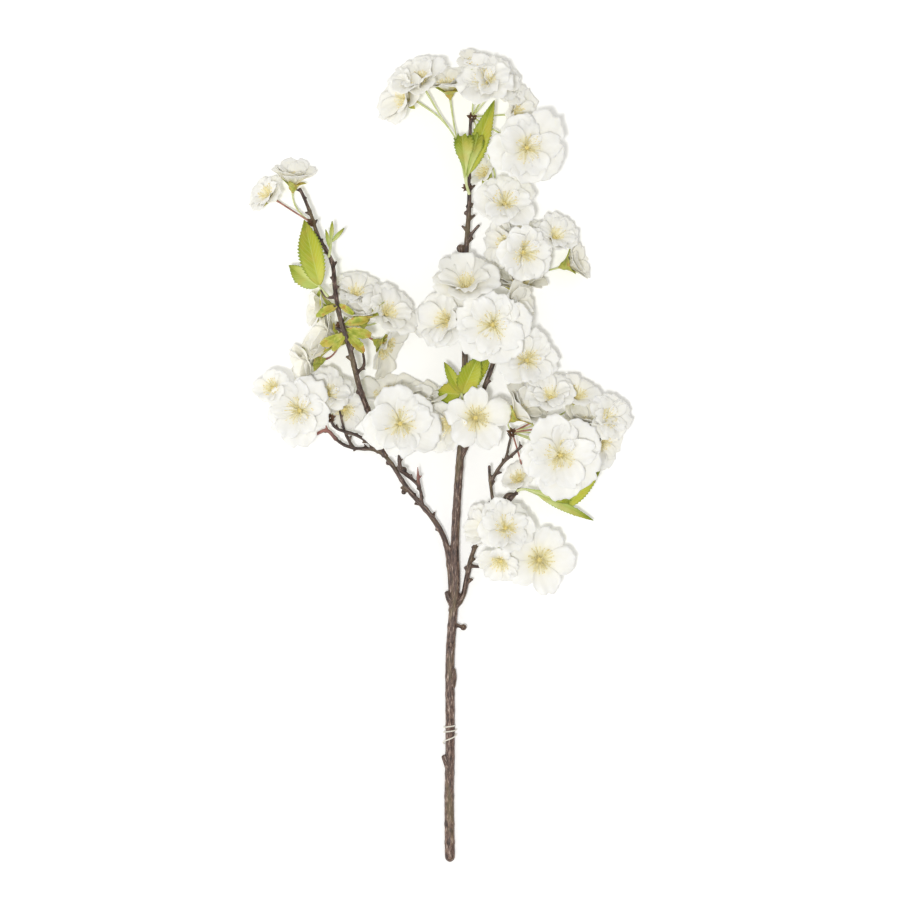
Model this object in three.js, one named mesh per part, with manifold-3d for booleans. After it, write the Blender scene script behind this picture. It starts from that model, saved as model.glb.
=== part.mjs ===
// A sprig of double white cherry blossom, cut from the tree and laid on its side.
//
// Millimetres, +Z up. The sprig lies on the plane z = 0 with its butt towards -Y and its
// blossoming tip towards +Y, and the origin is under the middle of its outline.
//
// Every piece is a closed solid. Woody parts are bent rods, petals and leaves are thin curved
// sheets, and stalks end in the green cups that hold the flowers. Pieces that would run into
// each other are cut apart with a small gap, in the order in which they are listed below.

import * as THREE from 'three';
import { mergeVertices } from 'three/addons/utils/BufferGeometryUtils.js';
import Module from 'manifold-3d';

const wasm = await Module();
wasm.setup();

// ---- Driving dimensions -------------------------------------------------------------------

const GAP = 0.3; // air between pieces that would touch
const PETAL_THICKNESS = 0.7;
const LEAF_THICKNESS = 0.7;
const THREAD_RADIUS = 0.5;
const STALK_RADIUS = 0.8;
const LONG_STALK = 30; // length from which a stalk bends in the middle
const CUP_RADIUS = 2.6; // rim of the green cup under a flower
const CUP_LENGTH = 5.5;
const SEPAL_REACH = 6; // from a flower's axis to the tips of its sepals
const BOSS_RADIUS = 3; // bud scales from which the stalks of a bunch spring
const CORE_RADIUS = 1.8; // solid heart of a flower, where its petals and stamens meet
const FLOOR = 0;
const SLIVER = 0.1; // facets flatter than this are merged with their neighbours

const PETALS = 5; // petals in each ring of a flower
const PETAL_PITCH = (2 * Math.PI) / PETALS;
const COLLAR_STEPS = 2 * PETALS; // corners of a loop: one at each petal and each dip

const UP = new THREE.Vector3(0, 0, 1);

// ---- Small helpers ------------------------------------------------------------------------

const rad = THREE.MathUtils.degToRad;
const at = ([x, y, z]) => new THREE.Vector3(x, y, z);

/** Repeatable random numbers from 0 to 1. */
function seeded(seed) {
  let state = seed >>> 0;
  return () => {
    state = (state + 0x6d2b79f5) >>> 0;
    let mixed = Math.imul(state ^ (state >>> 15), state | 1);
    mixed ^= mixed + Math.imul(mixed ^ (mixed >>> 7), mixed | 61);
    return ((mixed ^ (mixed >>> 14)) >>> 0) / 4294967296;
  };
}

/** Unit vector of a heading round +Z, counted from +X, and a lean away from +Z. */
function facing([heading, lean]) {
  const [turn, tilt] = [rad(heading), rad(lean)];
  const flat = Math.sin(tilt);
  return new THREE.Vector3(flat * Math.cos(turn), flat * Math.sin(turn), Math.cos(tilt));
}

/** A geometry as a solid, with its shared corners merged and its empty triangles dropped. */
function solidOf(geometry) {
  const bare = new THREE.BufferGeometry();
  bare.setAttribute('position', geometry.getAttribute('position'));
  bare.setIndex(geometry.index);
  const merged = mergeVertices(bare, 1e-4);
  const corners = merged.index.array;
  const kept = [];
  for (let i = 0; i < corners.length; i += 3) {
    const [a, b, c] = corners.slice(i, i + 3);
    if (a !== b && b !== c && c !== a) kept.push(a, b, c);
  }
  return new wasm.Manifold(new wasm.Mesh({
    numProp: 3,
    vertProperties: new Float32Array(merged.getAttribute('position').array),
    triVerts: new Uint32Array(kept),
  }));
}

/** A solid as a plain geometry. */
function geometryOf(solid) {
  const mesh = solid.getMesh();
  const geometry = new THREE.BufferGeometry();
  geometry.setAttribute('position', new THREE.BufferAttribute(mesh.vertProperties, 3));
  geometry.setIndex(new THREE.BufferAttribute(mesh.triVerts, 1));
  geometry.computeVertexNormals();
  return geometry;
}

/** All solids joined in one. */
function fused(solids) {
  return solids.reduce((whole, solid) => whole.add(solid));
}

/** The largest separate body of a solid. */
function largestBody(solid) {
  const bodies = solid.decompose();
  return bodies.reduce((best, body) => (body.volume() > best.volume() ? body : best));
}

/** Whether the boxes round two solids meet. */
function boxesMeet(one, other) {
  const [a, b] = [one.boundingBox(), other.boundingBox()];
  return [0, 1, 2].every((axis) => a.min[axis] < b.max[axis] && b.min[axis] < a.max[axis]);
}

// ---- Rods: wood, stalks and thread --------------------------------------------------------

/**
 * A round rod bent along a smooth curve through `path`: a turned profile of `sides` sides,
 * with its axis laid along the curve. `radii` are even steps of radius from end to end.
 */
function rod({ path, radii, sides, rings, clearance = 0 }) {
  const curve = new THREE.CatmullRomCurve3(path.map(at), false, 'centripetal');
  const length = curve.getLength();
  const profile = [new THREE.Vector2(0, -clearance / length)];
  for (let ring = 0; ring <= rings; ring += 1) {
    const share = ring / rings;
    const place = share * (radii.length - 1);
    const step = Math.min(Math.floor(place), radii.length - 2);
    const radius = THREE.MathUtils.lerp(radii[step], radii[step + 1], place - step);
    const overrun = (2 * share - 1) * (clearance / length);
    profile.push(new THREE.Vector2(radius + clearance, share + overrun));
  }
  profile.push(new THREE.Vector2(0, 1 + clearance / length));
  const geometry = new THREE.LatheGeometry(profile, sides);
  const steps = rings * 2;
  const frames = curve.computeFrenetFrames(steps, false);
  const position = geometry.getAttribute('position');
  for (let i = 0; i < position.count; i += 1) {
    const along = position.getY(i);
    const inside = THREE.MathUtils.clamp(along, 0, 1);
    const frame = Math.round(inside * steps);
    const spot = curve.getPointAt(inside)
      .addScaledVector(frames.tangents[frame], (along - inside) * length)
      .addScaledVector(frames.normals[frame], position.getX(i))
      .addScaledVector(frames.binormals[frame], -position.getZ(i));
    position.setXYZ(i, spot.x, spot.y, spot.z);
  }
  return solidOf(geometry);
}

/** A few-sided ball, of 20 faces or, if `plain` is set, of 8. */
function knob({ centre, radius, plain = false, clearance }) {
  const Shape = plain ? THREE.OctahedronGeometry : THREE.IcosahedronGeometry;
  return solidOf(new Shape(radius + clearance).translate(...centre));
}

// ---- Sheets: petals and leaves ------------------------------------------------------------

/**
 * A closed solid from one curved sheet: both faces repeat the sheet's triangles, half a
 * thickness to each side, and a band of triangles closes its edge.
 */
function sheetSolid(points, triangles, thickness, lowest = FLOOR) {
  const normals = points.map(() => new THREE.Vector3());
  const edges = new Map();
  for (const [a, b, c] of triangles) {
    const across = points[b].clone().sub(points[a]).cross(points[c].clone().sub(points[a]));
    for (const corner of [a, b, c]) normals[corner].add(across);
    for (const [from, to] of [[a, b], [b, c], [c, a]]) edges.set(`${from},${to}`, [from, to]);
  }
  const count = points.length;
  const positions = new Float32Array(count * 6);
  points.forEach((point, i) => {
    const offset = normals[i].normalize().multiplyScalar(thickness / 2);
    const middle = point.clone();
    middle.z = Math.max(middle.z, lowest + thickness / 2);
    const front = middle.clone().add(offset);
    const back = middle.clone().sub(offset);
    front.z = Math.max(front.z, lowest);
    back.z = Math.max(back.z, lowest);
    front.toArray(positions, i * 3);
    back.toArray(positions, (i + count) * 3);
  });
  const index = [];
  for (const [a, b, c] of triangles) index.push(a, b, c, a + count, c + count, b + count);
  for (const [from, to] of edges.values()) {
    if (edges.has(`${to},${from}`)) continue;
    index.push(from, from + count, to, to, from + count, to + count);
  }
  const geometry = new THREE.BufferGeometry();
  geometry.setAttribute('position', new THREE.BufferAttribute(positions, 3));
  geometry.setIndex(index);
  return solidOf(geometry);
}

// Edge of one petal, as [share of the pitch from its middle line, share of its length]. The
// first point is the dip between neighbours, and the middle one is the notch at the tip.
const BROAD_PETAL = [[-0.5, 0.64], [-0.42, 0.87], [-0.17, 1], [0, 0.91], [0.17, 1], [0.42, 0.87]];
const PLAIN_PETAL = [[-0.5, 0.66], [-0.32, 0.98], [0, 0.91], [0.32, 0.98]];
const INNER_PETAL = [[-0.5, 0.68], [-0.24, 1], [0.24, 1]];
const HEART_SHARE = 0.55; // how far up a petal its deepest point lies

/** Collects the corners and triangles of one closed surface. */
class Surface {
  points = [];

  triangles = [];

  frame = new THREE.Matrix4();

  /** Adds a corner, given in the current frame, and gives its number. */
  corner(x, y, z) {
    return this.points.push(new THREE.Vector3(x, y, z).applyMatrix4(this.frame)) - 1;
  }

  /** Adds a corner by its angle round Z, its distance from Z and its height. */
  polar(angle, radius, height) {
    return this.corner(radius * Math.cos(angle), radius * Math.sin(angle), height);
  }

  /** Adds a loop of corners round Z. */
  loop(count, radius, height, turn = 0) {
    const angle = (i) => turn + (i / count) * 2 * Math.PI;
    return Array.from({ length: count }, (_, i) => this.polar(angle(i), radius, height));
  }

  /** Adds a triangle, or its mirror image if `flip` is set. */
  facet(a, b, c, flip = false) {
    this.triangles.push(...(flip ? [a, c, b] : [a, b, c]));
  }

  /** Joins a loop to one further up the axis by a band of triangles. */
  band(low, high) {
    let [i, j] = [0, 0];
    while (i < low.length || j < high.length) {
      const [here, above] = [low[i % low.length], high[j % high.length]];
      if ((i + 1) / low.length <= (j + 1) / high.length) {
        i += 1;
        this.facet(here, low[i % low.length], above);
      } else {
        j += 1;
        this.facet(here, high[j % high.length], above);
      }
    }
  }

  /** Closes a loop by a fan of triangles round one corner above it. */
  cap(loop, top) {
    loop.forEach((here, i) => this.facet(top, here, loop[(i + 1) % loop.length]));
  }

  /** The solid inside the surface, kept above `lowest`. */
  solid(lowest) {
    for (const point of this.points) point.z = Math.max(point.z, lowest);
    const geometry = new THREE.BufferGeometry().setFromPoints(this.points);
    geometry.setIndex(this.triangles);
    return solidOf(geometry);
  }
}

/**
 * Adds one ring of petals to a flower's surface, with a front, a back and an edge. A line up
 * a petal leaves the axis at the angle `rise` and bends over to `spread` at its tip. `under`
 * and `over` are the loops of corners round the axis that its back and front start from.
 */
function addPetals(surface, { length, rise, spread, turn, outline, under, over, random, clearance }) {
  const reach = length + 2 * clearance;
  const bend = (rad(spread) - rad(rise)) / reach;
  const half = PETAL_THICKNESS / 2 + clearance;
  const pair = (angle, share, lift) => {
    const slope = rad(rise) + bend * share * reach;
    const out = (Math.cos(rad(rise)) - Math.cos(slope)) / bend;
    const height = (Math.sin(slope) - Math.sin(rad(rise))) / bend;
    return [half, -half].map((side) => surface.polar(
      angle + turn,
      out - (lift + side) * Math.cos(slope),
      height + (lift + side) * Math.sin(slope),
    ));
  };
  const edges = [];
  const hearts = [];
  for (let petal = 0; petal < PETALS; petal += 1) {
    const middle = petal * PETAL_PITCH;
    const size = 0.94 + 0.1 * random();
    for (const [side, share] of outline) {
      const dip = side === -0.5;
      const ruffle = dip ? 0 : (random() - 0.5) * 0.14 * length;
      edges.push(pair(middle + side * PETAL_PITCH, dip ? share : share * size, ruffle));
    }
    hearts.push(pair(middle, HEART_SHARE, 0));
  }
  const loop = edges.length;
  edges.forEach(([front, back], i) => {
    const [nextFront, nextBack] = edges[(i + 1) % loop];
    surface.facet(front, back, nextBack);
    surface.facet(front, nextBack, nextFront);
  });
  for (const [face, start, flip] of [[0, over, false], [1, under, true]]) {
    for (let petal = 0; petal < PETALS; petal += 1) {
      const first = petal * outline.length;
      const heart = hearts[petal][face];
      for (let i = 0; i < outline.length; i += 1) {
        const next = edges[(first + i + 1) % loop][face];
        surface.facet(heart, edges[first + i][face], next, flip);
      }
      const [dip, nextDip] = [edges[first][face], edges[(first + outline.length) % loop][face]];
      const [before, here, after] = start(petal);
      surface.facet(before, dip, heart, flip);
      surface.facet(before, heart, here, flip);
      surface.facet(here, heart, after, flip);
      surface.facet(after, heart, nextDip, flip);
    }
  }
}

// How a flower's rings stand, by how far it has opened. Lengths are shares of its radius,
// angles are in degrees from its axis. From the radius `doubleFrom` it has both rings.
const FORMS = {
  full: {
    depth: 0.2,
    rings: [{ length: 1.15, rise: 40, spread: 96 }, { length: 0.86, rise: 20, spread: 62 }],
    stamens: true,
    doubleFrom: 18.5,
  },
  open: {
    depth: 0.25,
    rings: [{ length: 1.2, rise: 30, spread: 84 }],
    stamens: true,
    doubleFrom: 0,
  },
  half: {
    depth: 0.5,
    rings: [{ length: 1.35, rise: 28, spread: 52 }, { length: 1.15, rise: 8, spread: 24 }],
    stamens: false,
    doubleFrom: 20.5,
  },
};
const TINY_FLOWER = 16.5; // radius under which its stamens are left out
const BROAD_FLOWER = 26.5; // radius from which its outer petals have the finer edge
const STAMEN_SHARE = 0.5; // length of the stamens, as a share of the flower's radius
const STAMEN_LEAN = 24;

/** The frame of a flower: its origin at the foot of the petals, its Z along its axis. */
function flowerPlace({ centre, radius, face, form }) {
  const axis = facing(face);
  const foot = at(centre).addScaledVector(axis, -FORMS[form].depth * radius);
  const turn = new THREE.Quaternion().setFromUnitVectors(UP, axis);
  return new THREE.Matrix4().compose(foot, turn, new THREE.Vector3(1, 1, 1));
}

/** A flower's petals, heart and stamens as one solid bounded by one surface. */
function flower(bloom, clearance) {
  const random = seeded(bloom.seed);
  const form = FORMS[bloom.form];
  const plain = bloom.single || bloom.radius < form.doubleFrom;
  const rings = plain ? form.rings.slice(0, 1) : form.rings;
  const turn = bloom.turn === undefined ? random() * PETAL_PITCH : rad(bloom.turn);
  const outline = bloom.radius >= BROAD_FLOWER ? BROAD_PETAL : PLAIN_PETAL;
  const surface = new Surface();
  surface.frame = flowerPlace(bloom);
  const foot = surface.corner(0, 0, -PETAL_THICKNESS / 2 - clearance);
  let collar = Array(COLLAR_STEPS).fill(foot);
  let floor = 0.6;
  rings.forEach((ring, level) => {
    const under = collar;
    floor += CORE_RADIUS;
    collar = surface.loop(COLLAR_STEPS, CORE_RADIUS, floor, turn);
    addPetals(surface, {
      ...ring,
      length: ring.length * bloom.radius,
      turn: turn + level * (PETAL_PITCH / 2),
      outline: level ? INNER_PETAL : outline,
      under: spotsFor(under, level),
      over: spotsFor(collar, level),
      random,
      clearance,
    });
  });
  const top = surface.corner(0, 0, floor + 0.6 + clearance);
  if (form.stamens && bloom.radius >= TINY_FLOWER) {
    collar = addStamens(surface, collar, bloom.radius, floor, turn, clearance);
  }
  surface.cap(collar, top);
  return surface.solid(FLOOR - clearance);
}

/**
 * Gives, for each petal, the corners of a collar before, at and after the petal's middle: an
 * even corner in the outer ring and an odd one in the next.
 */
function spotsFor(collar, level) {
  return (petal) => [-1, 0, 1].map(
    (side) => collar[(2 * petal + level + side + COLLAR_STEPS) % COLLAR_STEPS],
  );
}

/** Raises every second corner of a pleated loop inside `collar` to the tip of a stamen. */
function addStamens(surface, collar, radius, floor, turn, clearance) {
  const reach = STAMEN_SHARE * radius + clearance;
  const out = CORE_RADIUS * 0.7 + reach * Math.sin(rad(STAMEN_LEAN));
  const high = floor + reach * Math.cos(rad(STAMEN_LEAN));
  const inner = collar.map((_, i) => {
    const angle = turn + (i / COLLAR_STEPS) * 2 * Math.PI;
    if (i % 2 === 0) return surface.polar(angle, CORE_RADIUS * 0.55, floor + 0.4 + clearance);
    return surface.polar(angle, out, high);
  });
  surface.band(collar, inner);
  return inner;
}

/** A flower's stalk, and the green cup with five pointed sepals that it widens to. */
function stalk(spur, bloom, clearance) {
  const surface = new Surface();
  const place = flowerPlace(bloom);
  const axis = facing(bloom.face);
  const foot = new THREE.Vector3(0, 0, -CUP_LENGTH).applyMatrix4(place);
  const swing = Math.min(foot.distanceTo(at(spur)) * 0.35, 12);
  const bow = foot.clone().addScaledVector(axis, -swing);
  bow.z = Math.max(bow.z, STALK_RADIUS + GAP);
  const start = at(spur).add(bow.clone().sub(at(spur)).setLength(BOSS_RADIUS * 0.5));
  const curve = new THREE.QuadraticBezierCurve3(start, bow, foot);
  let loop;
  for (const share of foot.distanceTo(start) > LONG_STALK ? [0, 0.5, 1] : [0, 1]) {
    const turn = new THREE.Quaternion().setFromUnitVectors(UP, curve.getTangent(share));
    surface.frame.compose(curve.getPoint(share), turn, new THREE.Vector3(1, 1, 1));
    const next = surface.loop(3, STALK_RADIUS + clearance, 0);
    if (loop) surface.band(loop, next);
    else surface.facet(next[0], next[2], next[1]);
    loop = next;
  }
  surface.frame = place;
  const rim = -PETAL_THICKNESS / 2 - GAP + clearance;
  const waist = surface.loop(PETALS, CUP_RADIUS * 0.8 + clearance, rim - 2 * clearance - 1.6);
  const points = Array.from({ length: COLLAR_STEPS }, (_, i) => surface.polar(
    ((i - 0.5) / COLLAR_STEPS) * 2 * Math.PI + PETAL_PITCH / 4,
    (i % 2 === 0 ? SEPAL_REACH + clearance : CUP_RADIUS) + clearance,
    rim - (i % 2 === 0 ? clearance + 0.4 : 0.2),
  ));
  surface.band(loop, waist);
  surface.band(waist, points);
  surface.cap(points, surface.corner(0, 0, rim));
  return surface.solid(FLOOR - clearance);
}

/** The stalks and green cups of a bunch in one solid. */
function stalks({ spur, blooms }, clearance) {
  const boss = knob({ centre: spur, radius: BOSS_RADIUS, plain: true, clearance });
  return fused([boss, ...blooms.map((bloom) => stalk(spur, bloom, clearance))]);
}

/**
 * One leaf blade with saw-cut edges, folded along its rib. It runs from `base` to `tip` over
 * an arch `lift` high, and `roll` turns it about its rib.
 */
function blade({ base, tip, width, lift, fold, roll, teeth = 4 }, clearance) {
  const [start, end] = [at(base), at(tip)];
  const middle = start.clone().lerp(end, 0.5).addScaledVector(UP, lift);
  const rib = new THREE.QuadraticBezierCurve3(start, middle, end);
  const halfWidth = (share) => (width / 2) * Math.sin(Math.PI * share ** 0.8) + 0.5 + clearance;
  const side = (share, hand, cut) => {
    const tangent = rib.getTangent(share);
    const across = tangent.clone().cross(UP).normalize().applyAxisAngle(tangent, rad(roll));
    const raised = across.clone().cross(tangent);
    const reach = halfWidth(share) * cut;
    return rib.getPoint(share)
      .addScaledVector(across, hand * reach * Math.cos(fold))
      .addScaledVector(raised, reach * Math.sin(fold));
  };
  const points = [];
  for (let i = 0; i <= teeth; i += 1) points.push(rib.getPoint(i / teeth));
  const triangles = [];
  for (const hand of [-1, 1]) {
    const first = points.length;
    for (let i = 0; i < teeth; i += 1) {
      const notch = Math.max(i / teeth, 0.04);
      points.push(side(notch, hand, 0.86), side((i + 0.85) / teeth, hand, 1.12));
    }
    const add = (a, b, c) => triangles.push(hand > 0 ? [a, b, c] : [a, c, b]);
    for (let i = 0; i < teeth; i += 1) {
      const notch = first + 2 * i;
      const tooth = notch + 1;
      add(i, notch, tooth);
      add(i, tooth, i + 1);
      if (i < teeth - 1) add(i + 1, tooth, tooth + 1);
    }
  }
  return sheetSolid(points, triangles, LEAF_THICKNESS + 2 * clearance, FLOOR - clearance);
}

/** A tuft of leaf blades on their shared leaf stalk. */
function tuft({ stalk, blades }, clearance) {
  const radii = [STALK_RADIUS + 0.2, STALK_RADIUS + 0.2];
  const parts = [rod({ path: stalk, radii, sides: 5, rings: 3, clearance })];
  for (const leaf of blades) parts.push(blade(leaf, clearance));
  return fused(parts);
}

// ---- The wood -----------------------------------------------------------------------------

// Each limb: the points it runs through and its radius from end to end.
const LIMBS = {
  leader: {
    path: [
      [7, -286, 3.2], [6.5, -240, 3.3], [7, -212, 4.1], [7, -190, 5], [7, -142, 6.4],
      [9, -114, 8], [11, -90, 9.5], [10.5, -62, 12], [12, -30, 14.5], [14.5, 4.5, 17],
      [17, 29, 18], [17.5, 59, 19], [17.5, 95, 19], [18, 136, 19], [20.5, 180, 19],
      [20.5, 207, 19], [21.5, 237, 20],
    ],
    radii: [3.6, 3.4, 3.3, 3.2, 3, 2.8, 2.2, 2.1, 1.6, 1.2],
    sides: 7,
    rings: 16,
  },
  left_limb: {
    path: [
      [8.5, -109, 7], [6.5, -76, 9], [3, -58, 11], [-5.5, -43, 13], [-22.5, -23, 15],
      [-38, -0.5, 16], [-46, 4.5, 16], [-61.5, 6, 15], [-70, 9.5, 14], [-80, 18, 13],
      [-89, 14.5, 12],
    ],
    radii: [2.2, 2, 1.8, 1.3, 1],
    sides: 5,
    rings: 9,
  },
  left_fork: {
    path: [[-12.5, -34.5, 14], [-14.5, -22, 17], [-22.5, -13.5, 19], [-28, -9.5, 21]],
    radii: [1.2, 1.1, 1.7],
    sides: 4,
    rings: 4,
  },
  left_upper_twig: {
    path: [[-43, 3, 15.5], [-49.5, 9.5, 18], [-59, 15, 20], [-73, 20, 21], [-77, 25.5, 22]],
    radii: [1.4, 1],
    sides: 5,
    rings: 5,
  },
  left_inner_twig: {
    path: [[-61.5, 6.5, 15], [-66.5, 16.5, 18], [-70.5, 32, 20]],
    radii: [1.2, 0.8],
    sides: 4,
    rings: 3,
  },
  riser: {
    path: [
      [-38.5, 0.5, 16], [-45, 18.5, 22], [-51, 34, 32], [-56, 48, 38], [-62.5, 74.5, 44],
      [-69.5, 97, 46], [-73, 116.5, 42], [-75.5, 136, 36], [-85.5, 154.5, 30], [-89.5, 167, 27],
      [-96, 183, 24], [-98.5, 188, 23.5],
    ],
    radii: [2.1, 2, 1.8, 1.5, 1.2],
    sides: 5,
    rings: 9,
  },
  riser_side_twig: {
    path: [[-73, 111, 43], [-78.5, 111, 40], [-83, 116, 37]],
    radii: [1.2, 1],
    sides: 4,
    rings: 2,
  },
  leader_spur: {
    path: [[20, 152.5, 19], [23.5, 158, 19.5], [27.5, 162.5, 20]],
    radii: [1.2, 1],
    sides: 4,
    rings: 2,
  },
  riser_spur: {
    path: [[-58, 58, 41], [-53, 63.5, 40], [-54, 74.5, 38]],
    radii: [1.2, 0.9],
    sides: 4,
    rings: 3,
  },
  right_limb: {
    path: [
      [9, -109, 7], [16, -98.5, 9], [19, -85, 11], [21.5, -72.5, 13], [24.5, -63.5, 15],
      [26, -57, 17],
    ],
    radii: [2.1, 1.9, 1.3],
    sides: 5,
    rings: 5,
  },
  right_low_twig: {
    path: [[21.5, -77, 12.5], [28, -77.5, 12], [35, -74, 12]],
    radii: [1.2, 1],
    sides: 4,
    rings: 2,
  },
  right_riser: {
    path: [
      [24.5, -63.5, 15], [33.5, -51.5, 15], [38, -39, 15], [36.5, -27, 17], [35, -15, 20],
      [34.5, -6.5, 22],
    ],
    radii: [1.5, 1.3, 1.1],
    sides: 5,
    rings: 5,
  },
  right_upper_twig: {
    path: [[35.4, -18, 19], [44, -4.5, 23], [50.5, 1, 25], [57.5, 7.5, 26]],
    radii: [1.4, 1],
    sides: 5,
    rings: 4,
  },
  right_spur: {
    path: [[46, -2.5, 23.7], [48.5, 9, 25], [50, 15, 26]],
    radii: [1, 0.9],
    sides: 4,
    rings: 2,
  },
  right_outer_twig: {
    path: [[38, -39, 15], [45.5, -34.5, 16], [52.5, -27, 17], [57, -19, 18]],
    radii: [1.3, 1],
    sides: 5,
    rings: 3,
  },
  second_leader: {
    path: [
      [13.5, -4, 16], [19, 9.5, 18], [25, 31, 19], [31.5, 49.5, 20], [38, 67.5, 20],
      [45, 92, 20], [50.5, 111, 19], [54.5, 127, 18],
    ],
    radii: [2.1, 1.7, 1.2],
    sides: 5,
    rings: 7,
  },
};

// Buds, scars and cut side shoots on the wood: [centre, radius].
const KNOBS = [
  [[7.5, -133, 9.2], 2], [[5, -97, 9], 2.1], [[16.5, -120.5, 9], 2.3], [[10.4, -156, 6.2], 2.2],
  [[3.4, -214, 4.1], 1.9], [[15, 146, 20], 2.7], [[18, 196, 19], 1.6], [[23, 176.5, 19], 1.7],
  [[18.2, 171, 19], 1.6],
  [[-57, 45, 38], 1.8], [[-36.5, -4.5, 15.5], 1.8],
];

function wood(clearance) {
  const parts = Object.values(LIMBS).map((limb) => rod({ ...limb, clearance }));
  for (const [centre, radius] of KNOBS) parts.push(knob({ centre, radius, clearance }));
  parts.push(rod({
    path: [[11.5, -119, 8], [16.5, -120.5, 9]],
    radii: [1.2, 1],
    sides: 5,
    rings: 1,
    clearance,
  }));
  const ground = new THREE.BoxGeometry(400, 700, 20).translate(0, 0, FLOOR - 10);
  return fused(parts).subtract(solidOf(ground));
}

/** White thread wound round the wood, with a slack strand crossing down to its end. */
function thread(clearance) {
  const axis = new THREE.Vector3(7, -190, 5);
  const wrap = 3.4 + THREAD_RADIUS + GAP + 0.25;
  const turns = 2.5;
  const pitch = 3.4;
  const steps = 25;
  const path = [];
  for (let i = 0; i <= steps; i += 1) {
    const angle = (i / steps) * turns * 2 * Math.PI + rad(40);
    const slack = i > steps - 6 ? (i - steps + 6) * 0.5 : 0;
    path.push([
      axis.x + (wrap + slack * 0.2) * Math.cos(angle),
      axis.y - (i / steps) * turns * pitch - slack * 1.6,
      Math.max(axis.z + wrap * Math.sin(angle), THREAD_RADIUS + FLOOR),
    ]);
  }
  const radii = [THREAD_RADIUS, THREAD_RADIUS];
  return rod({ path, radii, sides: 4, rings: 18, clearance });
}

// ---- Flowers and leaves -------------------------------------------------------------------

const bloom = (centre, radius, face, form, extra = {}) => ({ centre, radius, face, form, ...extra });
const JOINED = { joined: true };

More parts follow.
